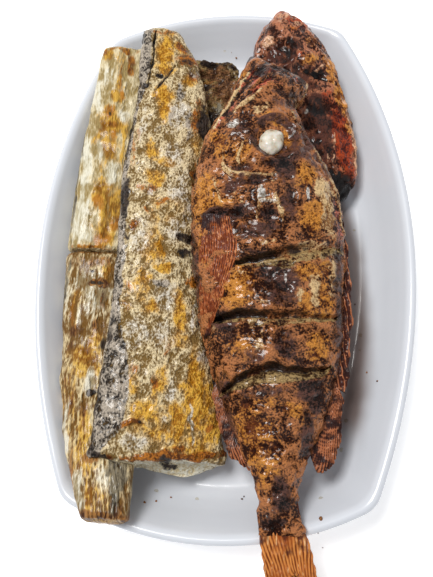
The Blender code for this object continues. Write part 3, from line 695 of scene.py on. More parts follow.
grain = place.noise(0.004, 3.0)
colour = (place.mask("ray") + 1.6 * (grain - 0.5)).over(0.72, 0.26).mix(rgb(66, 22, 10), rgb(178, 106, 66))
colour = fine.over(0.64, 0.06).mix(colour, rgb(206, 140, 100))
colour = (1 - grain).over(0.56, 0.09).mix(colour, rgb(44, 14, 8))
finish_material(dark_fin, {
    "Base Color": colour,
    "Roughness": 0.3 + 0.3 * fine,
    "Coat Weight": 0.25,
    "Specular IOR Level": 0.15,
    "Coat Roughness": 0.2,
}, fine + grain, 0.0008)
FIN_SPOKES = angles(40, 24)


def fin_rows(table, count):
    """A fin's table read at `count` even stations from front to rear, in metres."""
    stations = np.column_stack([np.linspace(0, 1, len(table)), np.array(table)])
    return flow(stations, np.linspace(0, 1, count)) * MM


# The rays of a fin: how many, how far they lean back, how narrow they are, and how high they stand in mm.
SPINES = (6.0, 0.55, 6.0, 0.8)
SOFT_RAYS = (15.0, 0.7, 0.9, 0.45)
for name, table, count, seed, (number, lean, narrow, ridge_height) in (
    ("red_fish_spiny_fin", SPINY_FIN, 260, 101, SPINES),
    ("red_fish_soft_fin", SOFT_FIN, 150, 103, SOFT_RAYS),
    ("red_fish_vent_fin", VENT_FIN, 150, 105, SOFT_RAYS),
):
    share = np.linspace(0, 1, count)[:, None]
    values = fin_rows(table, count)
    root, tip, half = values[:, [0, 1, 4]], values[:, [2, 3, 4]], values[:, 5]
    across = (1 + squared(np.cos(FIN_SPOKES), FIN_SQUARENESS))[None, :] / 2
    fin = between_rails(root, tip, half, FIN_SPOKES, FIN_SQUARENESS)
    phase = (share - lean * across) * number + 0.2 * cloud(fin, 0.01, seed + 5)
    ray = np.abs(np.cos(np.pi * phase)) ** narrow
    notch = 0.05 * (1 + cloud(tip, 0.0045, seed + 6, 3))[:, None]
    tip = root + (tip - root) * (1 - notch)
    fin = between_rails(root, tip, half, FIN_SPOKES, FIN_SQUARENESS)
    fin = raised(fin, ridge_height * (ray - 0.5) + 0.35 * cloud(fin, 0.004, seed))
    skin(name, fin, dark_fin, {"ray": ray})


# ---- whole fish: the breast fin ----------------------------------------------------------------------------
# The breast fin fried flat against the flank: close red-brown rays spreading backwards from a burnt root.
# (root X, root Y, tip X, tip Y, half thickness), in mm, front to rear
SIDE_FIN = (
    (-7.5, -1.0, 7.0, -6.0, 2.6), (-9.0, -18.0, 9.5, -20.0, 1.9), (-9.0, -36.0, 6.0, -34.0, 1.6),
    (-8.5, -50.0, 0.5, -48.0, 1.4), (-7.0, -61.0, -4.0, -60.0, 1.1),
)


def flank_height(x, y):
    """Height of the whole fish's upper flank over a point in plan, metres."""
    belly, back, height, half = (flow(RED_FISH, np.atleast_1d(y) / MM) * MM).T
    share = (x - (belly + back) / 2) / ((back - belly) / 2)
    inside = np.clip(1 - np.abs(share) ** FISH_SQUARENESS, 0, 1)
    return height + half * inside ** (1 / FISH_SQUARENESS)


side_rows = fin_rows(SIDE_FIN, 220)
root = np.column_stack([side_rows[:, :2], flank_height(side_rows[:, 0], side_rows[:, 1])])
tip = np.column_stack([side_rows[:, 2:4], flank_height(side_rows[:, 2], side_rows[:, 3])])
tip[:, 2] = np.maximum(tip[:, 2], root[:, 2])
angle = angles(90, 40)
breast = between_rails(root, tip, side_rows[:, 4], angle, FIN_SQUARENESS)
across = squared(np.cos(angle), FIN_SQUARENESS)[None, :] * np.ones((len(breast), 1))
ray = np.abs(np.sin(np.pi * 7.5 * across)) ** 0.8
breast = raised(breast, 0.5 * (ray - 0.5) + 0.4 * cloud(breast, 0.006, 111))

rayed, place = new_material("fried_breast_fin_look")
fine = place.noise(0.0011, 4.0, (1.0, 2.2, 1.0))
grain = place.noise(0.005, 3.0, (1.0, 2.0, 1.0))
colour = (place.mask("ray") + 2.6 * (fine - 0.5)).over(0.62, 0.4).mix(rgb(64, 18, 4), rgb(176, 92, 44))
colour = grain.over(0.55, 0.15).mix(colour, rgb(118, 50, 18))
colour = fine.over(0.61, 0.05).mix(colour, rgb(206, 138, 90))
colour = (place.mask("root") + 1.9 * (grain - 0.5)).over(0.5, 0.25).mix(colour, rgb(46, 22, 22))
finish_material(rayed, {
    "Base Color": colour,
    "Roughness": 0.3 + 0.3 * fine,
    "Coat Weight": 0.2,
    "Specular IOR Level": 0.15,
    "Coat Roughness": 0.2,
}, fine + grain, 0.0007)
root_mask = np.interp(breast[..., 1] / MM, [-60, -52, -14, -7, -1], [0.7, 0.1, 0.0, 0.7, 1.0])
skin("red_fish_breast_fin", breast, rayed, {"ray": ray, "root": root_mask})


# ---- whole fish: the eye -----------------------------------------------------------------------------------
# Cooked through, the eye has turned to an opaque white lens, shrunken to one side of its socket.
# It is a slightly lumpy egg, sunk so that its top is level with the skin round the socket.
def ball(polar, around):
    """Points of a unit ball, in rings at the polar angles."""
    angle = np.linspace(0, 2 * np.pi, around, endpoint=False)[None, :]
    polar = polar[:, None]
    x, y, z = np.sin(polar) * np.cos(angle), np.sin(polar) * np.sin(angle), np.cos(polar) + 0 * angle
    return np.stack([x, y, z], axis=-1)


def blob(centre, radii, count, around, turn, seed, rough):
    """Rings of an egg at `centre` turned in plan, with its surface moved by noise of `rough` metres."""
    egg = ball(np.linspace(0.04, np.pi - 0.04, count), around) * np.array(radii)
    egg = egg + unit(egg) * (rough * cloud(egg, 0.45 * max(radii), seed, 3))[..., None]
    c, s = np.cos(np.radians(turn)), np.sin(np.radians(turn))
    egg = egg @ np.array([[c, s, 0], [-s, c, 0], [0, 0, 1]])
    return egg + np.array(centre)


lens_white, place = new_material("cooked_eye_look")
grain = place.noise(0.0034, 3.0)
colour = grain.over(0.5, 0.18).mix(rgb(200, 186, 160), rgb(232, 226, 214))
colour = (1 - grain).over(0.66, 0.06).mix(colour, rgb(158, 132, 104))
finish_material(lens_white, {
    "Base Color": colour,
    "Roughness": 0.35,
    "Coat Weight": 0.3,
    "Subsurface Weight": 0.1,
    "Subsurface Scale": 0.002,
}, grain, 0.0003)
EYE_X, EYE_Y = 0.0262, 0.0330
EYE_RADII = (0.0062, 0.0076, 0.0036)
eye_z = flank_height(np.array([EYE_X]), np.array([EYE_Y]))[0] - EYE_RADII[2]
eye_rings = blob((EYE_X, EYE_Y, eye_z), EYE_RADII, 40, 56, -24, 121, 0.00035)
eye_rings[..., 2] = np.minimum(eye_rings[..., 2], (FISH_TOP - 0.1) * MM)
skin("red_fish_eye", eye_rings, lens_white, {})


# ---- second fish's head ------------------------------------------------------------------------------------
# The head of a second red fish, tucked under the first. It fried longer: one eye burnt to a crust, the skin
# behind it nearly black, and the gill cover standing off in glossy dark red with an amber edge.
SECOND_HEAD = (
    (146.0, 32.4, 34.6, 30.4, 2.2), (140.5, 28.6, 40.6, 30.8, 5.4), (133.0, 23.5, 49.0, 30.6, 8.6),
    (121.0, 18.0, 58.0, 28.6, 11.0), (104.0, 14.5, 65.5, 25.0, 12.4), (88.0, 13.0, 70.0, 21.8, 12.6),
    (68.0, 14.0, 74.0, 18.6, 12.4), (48.0, 17.0, 75.5, 16.4, 11.6), (34.0, 20.0, 74.0, 15.2, 10.8),
    (24.0, 22.0, 67.0, 14.6, 10.2), (12.0, 25.0, 54.0, 14.2, 9.4),
)
HEAD_SPOKES = angles(130, 50)
BURNT_EYE = (29, 108, 9.5, 9.0)  # X, Y, half width and half length, mm
RAISED_EYE = (47, 104, 6.5, 6.0)
head = flank(SECOND_HEAD, 260, HEAD_SPOKES, FISH_SQUARENESS)
plan = head.copy()
top = upper_face(head, HEAD_SPOKES)
burnt_eye = from_middle(plan, *BURNT_EYE)
pit = np.interp(burnt_eye, [0, 0.6, 1.0, 1.2, 1.5], [2.6, 2.2, 0.6, -0.8, 0])
swell = np.interp(from_middle(plan, *RAISED_EYE), [0, 0.5, 1.0, 1.3], [1.9, 1.5, 0.2, 0])
# Hollows behind the gill cover and under the raised eye: sunk, and painted nearly black as shade.
shaded_hollows = blots(plan, (
    (66, 28, 6, 9, 10, 1), (60, 33, 4, 6, 20, 0.9), (54, 74, 8, 5, -10, 0.55), (52, 94, 7, 1.8, -15, 0.9),
    (37, 110, 3, 9, -10, 0.6), (42, 98, 4, 3, 0, 0.5),
), 1.0, 131)
plates = strokes(plan, (
    (1.0, 1.0, (72, 68, 74, 52, 74.5, 38)), (0.9, 0.8, (58, 102, 54, 97, 49, 94)),
    (0.8, 0.6, (64, 92, 70, 78, 72, 64)), (0.8, 0.5, (62, 62, 62, 48, 60, 40)),
    (0.7, 0.5, (50, 118, 56, 110, 62, 100)),
), 0.4, 133)
wrinkle = 0.6 * creases(plan * np.array([1.1, 0.6, 0.8]), 0.008, 137) + 0.35 * cloud(plan, 0.0030, 136, 3)
relief = cloud(plan, 0.010, 135) * 0.45 + wrinkle - pit * top + swell * top
relief += plates * 0.9 * top - shaded_hollows * 2.2 * top
head = raised(head, relief, past_snout(head, 10))
gold = blots(plan, (
    (61, 100, 3.6, 12, 10, 0.8), (67, 84, 3.4, 12, 8, 0.95), (50, 117, 5, 4, 0, 0.5),
    (49, 104, 5, 4, 0, 0.7), (70.5, 70, 2.4, 8, 0, 0.8), (38, 126, 6, 4, 0, 0.3),
), 1.6, 141)
red = blots(plan, (
    (66, 56, 6, 22, 4, 1), (35, 139, 4, 5, 0, 0.6), (70, 40, 4, 9, 0, 0.9), (42, 130, 6, 6, 0, 0.5),
    (60, 80, 5, 6, 0, 0.6), (44, 104, 4, 4, 0, 0.4), (68, 30, 4, 6, 0, 0.5),
), 1.6, 143)
# dark: charred skin, with painted shade under the raised eye and in the hollow behind the gill cover.
dark = blots(plan, (
    (52, 62, 8, 16, 0, 0.95), (54, 76, 8, 6, -10, 0.8), (46, 88, 7, 6, 0, 0.8), (38, 108, 4, 12, -10, 0.9),
    (29, 107, 9.5, 8, 0, 0.95), (54, 96, 7, 2.4, -15, 0.9), (34, 92, 14, 10, 0, 0.8),
    (54, 44, 8, 12, 0, 0.9), (27, 125, 4, 6, 25, 0.5), (67, 27, 8, 9, 0, 1), (24, 100, 6, 8, 0, 0.6),
    (62, 66, 2, 12, 0, 0.4),
), 1.6, 145)
# cream: pale lines of bone and skin; its mark above the burnt eye is a painted highlight.
cream = np.maximum(plates, blots(plan, (
    (27, 117, 4, 4, 30, 0.6), (34, 137, 4, 5, 0, 0.45), (42, 128, 6, 3, 20, 0.4), (73, 78, 1.4, 3, 0, 0.8),
    (70, 76, 1.0, 9, 4, 0.5), (34, 130, 3, 2, 0, 0.4), (58, 42, 1.0, 4, 0, 0.6), (48, 119, 4, 2, 0, 0.4),
), 0.8, 147))
# white: painted highlights, a glint in the hollow behind the gill cover and one above the burnt eye.
white = blots(plan, ((47, 71, 0.8, 2.0, -20, 1), (27, 117, 1.2, 1.0, 0, 0.4)), 0.5, 149)

burnt = fried_material("fried_dark_skin_look", (
    (None, (50, 18, 8), (200, 128, 92), 0),
    ("red", (80, 14, 0), (188, 68, 10), 0.34),
    ("gold", (120, 58, 8), (232, 156, 70), 0.34),
    ("dark", (18, 5, 2), (94, 48, 32), 0.3),
    ("cream", (160, 104, 70), (244, 192, 152), 0.24),
    ("gap_shade", (8, 3, 2), (22, 11, 8), 0.26),
    ("white", (150, 138, 124), (236, 228, 216), 0.26),
), 0.4, 0.6)
under = skin("second_fish_head", head, burnt, {
    "gold": gold, "red": red, "dark": dark, "cream": cream, "gap_shade": shaded_hollows, "white": white,
    "high": levelled(wrinkle),
})
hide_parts("red_fish_head")


# ---- cutlassfish: the upper left length --------------------------------------------------------------------
# Cutlassfish is a long flat fish without scales, cut across into lengths and fried. This one lost most of
# its silver coat, so cream flesh shows under patches of golden crust.
LENGTH_SQUARENESS = 2.5
EDGE = 3.0  # mm: the rounding of a cut end's edge
EDGE_RINGS = 9
CAP_RINGS = 17
CAP_BULGE = 0.0007


def length_of_fish(table, count, angle, slant=0.0):
    """Rings of a length cut across at both ends with rounded edges, and how far each is onto a cut end.
    Each row of its table is Y, left X, right X, left height, right height and half thickness, in mm."""
    rows = np.array(table)
    turn = np.linspace(0, np.pi / 2, EDGE_RINGS)
    lip = EDGE * (1 - np.cos(turn))
    towards = np.sign(rows[-1, 0] - rows[0, 0])
    body = np.linspace(rows[0, 0] + towards * EDGE, rows[-1, 0] - towards * EDGE, count)[1:-1]
    y = np.concatenate([rows[0, 0] + towards * lip, body, rows[-1, 0] - towards * lip[::-1]])
    left_x, right_x, left_z, right_z, half = flow(rows, y).T
    shrink = np.zeros(len(y))
    shrink[:EDGE_RINGS] = EDGE * 0.75 * (1 - np.sin(turn))
    shrink[-EDGE_RINGS:] = shrink[:EDGE_RINGS][::-1]
    left = np.column_stack([left_x + shrink, y, left_z]) * MM
    right = np.column_stack([right_x - shrink, y, right_z]) * MM
    rings = between_rails(left, right, (half - shrink) * MM, angle, LENGTH_SQUARENESS)
    # a slanting cut leaves the lower half of the last 14 mm sticking out by `slant` mm
    up = squared(np.sin(angle), LENGTH_SQUARENESS)
    near = np.clip(1 - np.abs(y - rows[-1, 0]) / 14.0, 0, 1) ** 2
    tongue = np.exp(-(((np.cos(angle) - 0.35) / 0.6) ** 2))
    rings[:, :, 1] += towards * slant * MM * near[:, None] * (tongue * (1 - up) / 2)[None, :]
    onto = np.linspace(0, 1, CAP_RINGS + 1)[1:, None, None]

    def cap(rim, outwards):
        middle = rim.mean(axis=0)
        disc = rim[None] + (middle - rim)[None] * onto * 0.985
        disc[..., 1] += outwards * CAP_BULGE * np.sin(np.pi / 2 * onto[..., 0])
        return disc

    first, last = cap(rings[0], -towards), cap(rings[-1], towards)
    first_cut = np.concatenate([np.ones(CAP_RINGS), np.interp(np.arange(EDGE_RINGS), [0, 5], [1, 0])])
    cut = np.concatenate([first_cut, np.zeros(len(y) - 2 * EDGE_RINGS), first_cut[::-1]])
    return np.concatenate([first[::-1], rings, last]), cut[:, None] * np.ones((1, len(angle)))


def crusted(rings, seed, coarse, crumbly, stretch):
    """The rings with dents of `coarse` mm and crust of `crumbly` mm added, and the crust's level,
    from which the skin shader paints shade in the folds and highlights on the crests.
    """
    crust = cloud(rings * np.array([1.0, 1 / stretch, 1.0]), 0.0032, seed + 1, 3)
    relief = coarse * cloud(rings, 0.014, seed) + crumbly * crust
    return raised(rings, relief), 0.5 + 0.7 * (levelled(crust) - 0.5)


UPPER_LEFT = (
    (121.5, -74.5, -38.0, 32.6, 24.0, 6.6), (100.0, -77.0, -37.0, 29.0, 19.0, 7.4),
    (77.0, -81.0, -38.0, 25.4, 15.4, 7.8), (50.0, -84.0, -40.0, 22.2, 12.8, 8.0),
    (20.0, -85.5, -44.0, 20.4, 12.0, 7.6), (-8.5, -85.5, -48.0, 19.0, 12.0, 7.0),
)
LENGTH_SPOKES = angles(110, 44)
rings, cut = length_of_fish(UPPER_LEFT, 300, LENGTH_SPOKES)
plan = rings.copy()
upper_masks = {
    "gold": blots(plan, (
        (-71, 115, 4, 5, 0, 0.9), (-63, 110, 4, 7, 0, 0.6), (-67, 70, 9, 10, 0, 1), (-63, 86, 3, 6, 0, 0.8),
        (-62, 97, 2.5, 7, 0, 0.6), (-66, 55, 6, 9, 0, 0.8), (-60, 48, 4, 8, 0, 0.6),
        (-75, 60, 3, 5, 0, 0.6), (-69, 42, 4, 7, 0, 0.7), (-67, 24, 6, 10, 0, 0.95),
        (-62, 14, 5, 11, 0, 0.9), (-64, 0, 7, 8, 0, 0.95), (-68, 32, 6, 5, 0, 0.7), (-76, -5, 7, 3, 0, 0.5),
        (-58, 66, 4, 8, 0, 0.6), (-57, 30, 4, 12, 0, 0.6),
    ), 2.0, 201),
    "white": blots(plan, (
        (-63, 38, 5, 7, 0, 1), (-76, 90, 3.5, 16, 12, 0.8), (-80, 40, 3.5, 22, 3, 0.8),
        (-79, 10, 4, 16, 0, 0.9), (-60, 75, 4, 5, 0, 0.7), (-75, 0, 4, 5, 0, 0.8), (-70, 100, 5, 8, 0, 0.5),
        (-72, 50, 3, 9, 0, 0.6),
    ), 1.6, 203),
    "brown": blots(plan, (
        (-66, 77, 3, 3, 0, 0.8), (-64, 70, 4, 3, 0, 0.7), (-71, 67, 4, 3, 0, 0.6),
        (-56, 110, 2.5, 9, 0, 0.7), (-61, 104, 2, 6, 0, 0.6), (-66, -3, 4, 4, 0, 0.9),
        (-69, 19, 3.5, 5, 0, 0.6), (-61, 92, 1.4, 8, 0, 0.7), (-72, 117, 3, 2.4, 0, 0.7),
        (-52, 40, 3, 20, 8, 0.7), (-64, 62, 3, 4, 0, 0.6), (-79, 92, 1.2, 4, 20, 0.7),
        (-62, 118, 12, 2, 0, 0.6), (-60, 8, 3, 6, 0, 0.5), (-70, -8, 14, 1.6, 0, 0.7),
    ), 1.3, 205),
    "black": blots(plan, ((-54, 64, 2.6, 4, 0, 1), (-67, 74, 1.2, 1.4, 0, 0.7)), 0.7, 207),
    "steel": blots(plan, ((-84, 30, 1.2, 40, 1, 0.8), (-83, 70, 1.0, 30, 4, 0.6)), 0.6, 209),
    "flesh": cut * 0.9,
}
cream_look = fried_material("bared_skin_look", (
    (None, (164, 140, 88), (238, 222, 182), 0),
    ("gold", (140, 90, 10), (226, 178, 76), 0.3),
    ("white", (204, 192, 158), (244, 238, 216), 0.34),
    ("brown", (98, 48, 2), (190, 126, 40), 0.28),
    ("steel", (60, 52, 40), (150, 140, 118), 0.24),
    ("flesh", (146, 120, 76), (210, 192, 150), 0.24),
    ("black", (24, 20, 16), (70, 60, 46), 0.24),
), 2.6, 0.3, 0.7)
rings, upper_masks["high"] = crusted(rings, 211, 0.5, 0.22, 2.5)
upper_left = skin("cutlass_upper_left_skin", rings, cream_look, upper_masks)
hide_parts("cutlass_upper_left")


# ---- cutlassfish: the lower left length --------------------------------------------------------------------
# The next length of the same fish: its muscle shows as long cream and golden strands that dried in the pan,
# with a few hard brown spots and a caramel-brown cut end against the rim.
LOWER_LEFT = (
    (-10.5, -85.5, -50.0, 19.0, 12.6, 6.6), (-36.0, -84.5, -49.0, 18.6, 13.0, 7.2),
    (-60.0, -82.0, -48.0, 18.6, 14.6, 7.4), (-80.0, -79.0, -46.5, 20.0, 17.6, 7.4),
    (-98.0, -75.0, -44.0, 22.6, 21.4, 7.2), (-121.0, -67.0, -38.5, 27.6, 27.4, 6.8),
    (-143.5, -58.0, -36.5, 33.4, 33.4, 6.0),
)
rings, cut = length_of_fish(LOWER_LEFT, 300, LENGTH_SPOKES)
plan = rings.copy()
across = (plan[..., 0] - plan[..., 0].mean(axis=1, keepdims=True)) / MM
strands = np.abs(np.sin(across * 1.5 + 1.6 * cloud(plan * np.array([1.0, 0.3, 1.0]), 0.010, 221)))
strands = strands * step((-plan[..., 1] / MM - 60) / 30)
rings = raised(rings, 0.3 * strands, 1 - cut[..., None])
lower_masks = {
    "gold": blots(plan, (
        (-68, -68, 8, 6, 0, 1), (-66, -76, 8, 5, 0, 0.8), (-63, -60, 4, 5, 0, 0.8),
        (-76, -42, 3, 14, 0, 0.6), (-62, -22, 3, 5, 0, 0.9), (-72, -88, 5, 12, 0, 0.6),
        (-62, -106, 3, 14, 6, 1), (-58, -122, 6, 4, 0, 0.8), (-52, -136, 5, 8, 0, 0.8),
        (-66, -112, 2, 14, 6, 0.6), (-76, -70, 3, 8, 0, 0.5), (-45, -136, 4, 6, 0, 0.6),
        (-55, -128, 2, 10, 6, 0.6), (-68, -98, 2.0, 12, 6, 0.6),
    ), 1.6, 223),
    "white": blots(plan, (
        (-72, -28, 9, 6, 0, 0.7), (-64, -38, 6, 8, 0, 0.7), (-63, -82, 3, 6, 0, 1),
        (-70, -48, 5, 6, 0, 0.5), (-72, -104, 2.4, 16, 8, 0.7), (-60, -130, 3, 10, 10, 0.8),
        (-58, -142, 6, 3, 0, 0.6), (-80, -36, 3, 14, 0, 0.5), (-48, -126, 3, 6, 0, 0.5),
    ), 1.6, 225),
    "brown": blots(plan, (
        (-65, -29, 6, 2.4, 0, 1), (-61, -37, 3, 6, 0, 0.6), (-72, -55, 6, 4, 0, 0.7),
        (-75, -63, 3, 4, 0, 0.6), (-63, -52, 3, 4, 0, 0.6), (-50, -142, 16, 3.6, 0, 1),
        (-41, -137, 3, 8, 0, 0.7), (-70, -17, 14, 4, 0, 0.55), (-66, -66, 3, 3, 0, 0.6),
        (-62, -98, 1.5, 10, 6, 0.7), (-70, -92, 1.2, 14, 7, 0.6), (-65, -120, 1.2, 16, 8, 0.6),
        (-70, -11, 16, 1.4, 0, 0.7), (-56, -118, 4, 3, 0, 0.6), (-75, -82, 1.2, 16, 6, 0.5),
    ), 1.2, 227),
    "black": blots(plan, (
        (-66, -29, 3.6, 1.2, 0, 0.7), (-61, -88, 2, 2, 0, 1), (-58, -64, 2, 5, 0, 0.7),
        (-69, -22, 1.4, 1, 0, 0.7),
    ), 0.7, 229),
    "steel": np.maximum(
        blots(plan, (
            (-42, -130, 3, 10, 0, 0.95), (-44, -120, 4, 5, 0, 0.9), (-83, -40, 1.4, 26, -2, 0.7),
        ), 1.0, 231),
        strokes(plan, ((0.9, 0.9, (-83, -60, -78, -90, -70, -118, -60, -142)),), 0.3, 233),
    ),
    "flesh": cut * 0.55,
}
strand_look = fried_material("stranded_skin_look", (
    (None, (124, 88, 38), (244, 222, 174), 0),
    ("gold", (150, 94, 20), (236, 190, 92), 0.34),
    ("white", (176, 158, 120), (246, 238, 216), 0.34),
    ("brown", (76, 38, 12), (176, 122, 62), 0.3),
    ("steel", (50, 42, 30), (140, 128, 104), 0.26),
    ("flesh", (120, 78, 32), (200, 160, 98), 0.24),
    ("black", (24, 18, 14), (70, 54, 40), 0.24),
), 2.2, 0.35)
rings, crust_level = crusted(rings, 235, 0.5, 0.26, 3.0)
lower_masks["high"] = crust_level + 0.4 * (strands - 0.5)
lower_left = skin("cutlass_lower_left_skin", rings, strand_look, lower_masks)
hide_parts("cutlass_lower_left")


# ---- cutlassfish: the length behind ------------------------------------------------------------------------
# A short length that lay at the hot side of the pan, with its front half under the length on top.
# Its skin fried to a crumbly brown crust, with char along the cut end.
BACK_LENGTH = (
    (118.0, -36.0, 7.5, 20.0, 18.0, 6.8), (104.0, -35.0, 9.0, 16.0, 15.0, 7.4),
    (80.0, -35.0, 5.0, 13.0, 13.0, 7.6), (50.0, -36.0, -4.0, 12.2, 12.2, 7.4),
    (16.0, -36.0, -12.0, 12.0, 12.0, 6.8),
)
rings, cut = length_of_fish(BACK_LENGTH, 220, LENGTH_SPOKES)
plan = rings.copy()
back_masks = {
    "gold": blots(plan, (
        (-13, 100, 4, 4, 0, 0.8), (-6, 92, 5, 4, 0, 0.5), (-8, 104, 3, 2, 0, 0.6),
    ), 1.2, 241),
    "white": blots(plan, ((2, 112, 3, 1.6, 0, 0.5), (-4, 84, 3, 6, 0, 0.4)), 1.2, 243),
    "brown": blots(plan, (
        (0, 97, 9, 9, 0, 0.9), (-6, 108, 8, 5, 0, 0.9), (4, 88, 5, 8, 0, 0.8), (-9, 90, 4, 6, 0, 0.6),
        (0, 76, 6, 8, 0, 0.6), (-14, 108, 6, 6, 0, 0.8),
    ), 1.6, 245),
    "black": blots(plan, (
        (-10, 115, 6, 3.4, -10, 1), (-12, 98, 4, 3, 0, 0.9), (2, 115, 8, 2, -10, 0.7),
        (-8, 72, 4, 12, 0, 0.8), (7, 100, 2, 8, -20, 0.9), (3, 84, 2.5, 9, -20, 0.9),
        (-3, 103, 2, 2, 0, 0.6), (-6, 60, 6, 8, 0, 0.9),
    ), 1.3, 247),
    "steel": blots(plan, ((-5, 82, 5, 8, 0, 0.5),), 1.0, 249),
}
back_look = fried_material("hard_fried_skin_look", (
    (None, (72, 48, 20), (176, 148, 98), 0),
    ("gold", (130, 68, 10), (204, 148, 72), 0.26),
    ("white", (150, 138, 114), (206, 198, 176), 0.28),
    ("brown", (66, 36, 18), (148, 104, 66), 0.26),
    ("steel", (70, 64, 52), (146, 138, 118), 0.24),
    ("black", (18, 12, 10), (68, 50, 38), 0.24),
), 0.0, 0.3)
rings, back_masks["high"] = crusted(rings, 251, 0.9, 0.9, 1.0)
behind = skin("cutlass_back_skin", rings, back_look, back_masks)
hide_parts("cutlass_back")


# ---- cutlassfish: the length on top ------------------------------------------------------------------------
# The longest length lies over the others with its silver skin on: finely blistered, grey and cream, golden
# where it touched the pan, with a dark fin line along its left edge and white flesh at the near cut end.
MIDDLE_LENGTH = (
    (127.0, -50.0, -27.5, 38.5, 34.0, 6.2), (108.0, -50.0, -17.5, 37.0, 31.6, 7.6),
    (84.0, -50.5, -11.0, 35.0, 28.6, 8.6), (60.0, -53.0, -7.5, 33.4, 26.2, 9.0),
    (30.0, -55.0, -12.5, 32.0, 24.0, 9.2), (0.0, -54.5, -15.0, 31.4, 22.8, 9.2),
    (-36.0, -54.0, -11.5, 31.6, 21.0, 9.0), (-70.0, -55.5, -5.5, 33.0, 19.0, 8.8),
    (-100.0, -57.0, 1.0, 34.0, 16.6, 8.4), (-117.5, -58.5, 4.0, 34.0, 15.0, 7.6),
)
rings, cut = length_of_fish(MIDDLE_LENGTH, 440, angles(150, 46), 8.0)
plan = rings.copy()
plan_x, plan_y = plan[..., 0] / MM, plan[..., 1] / MM
left_edge = np.interp(plan_y[:, :1], *np.array([(row[0], row[1]) for row in MIDDLE_LENGTH[::-1]]).T)
from_left = plan_x - left_edge + 1.3 * cloud(plan * np.array([1.0, 0.35, 1.0]), 0.012, 261)
# How wide the dark strip along the left edge is, in mm, by Y.
band_width = np.interp(
    plan_y, [-119, -114, -106, -92, -76, -62, -45, -10, 18, 40, 70, 88, 96, 126],
    [6, 8, 15, 17, 15.5, 11, 7, 6, 6.5, 4, 3, 6, 8.6, 8.6],
)
band = step((band_width - from_left) / 2.2 + 0.5)
groove = strokes(plan, (
    (0.8, 1.0, (-40.5, 124, -41, 105, -43, 86)), (0.8, 0.9, (-28, 99, -32, 91, -38, 82)),
), 0.3, 263)
flap = strokes(plan, ((1.3, 1.0, (-54, -115, -50, -109, -44, -104, -37, -101, -32, -102)),), 0.6, 265)
rim = strokes(plan, (
    (2.5, 1.0, (-47, -117, -40, -119, -33, -118, -26, -116, -16, -117, -6, -115, 2, -114)),
), 0.7, 267)
below = np.interp(plan_y + 0.8 * cloud(plan, 0.008, 269), [-119.2, -117.2], [1, 0]) * (plan_x > -36)
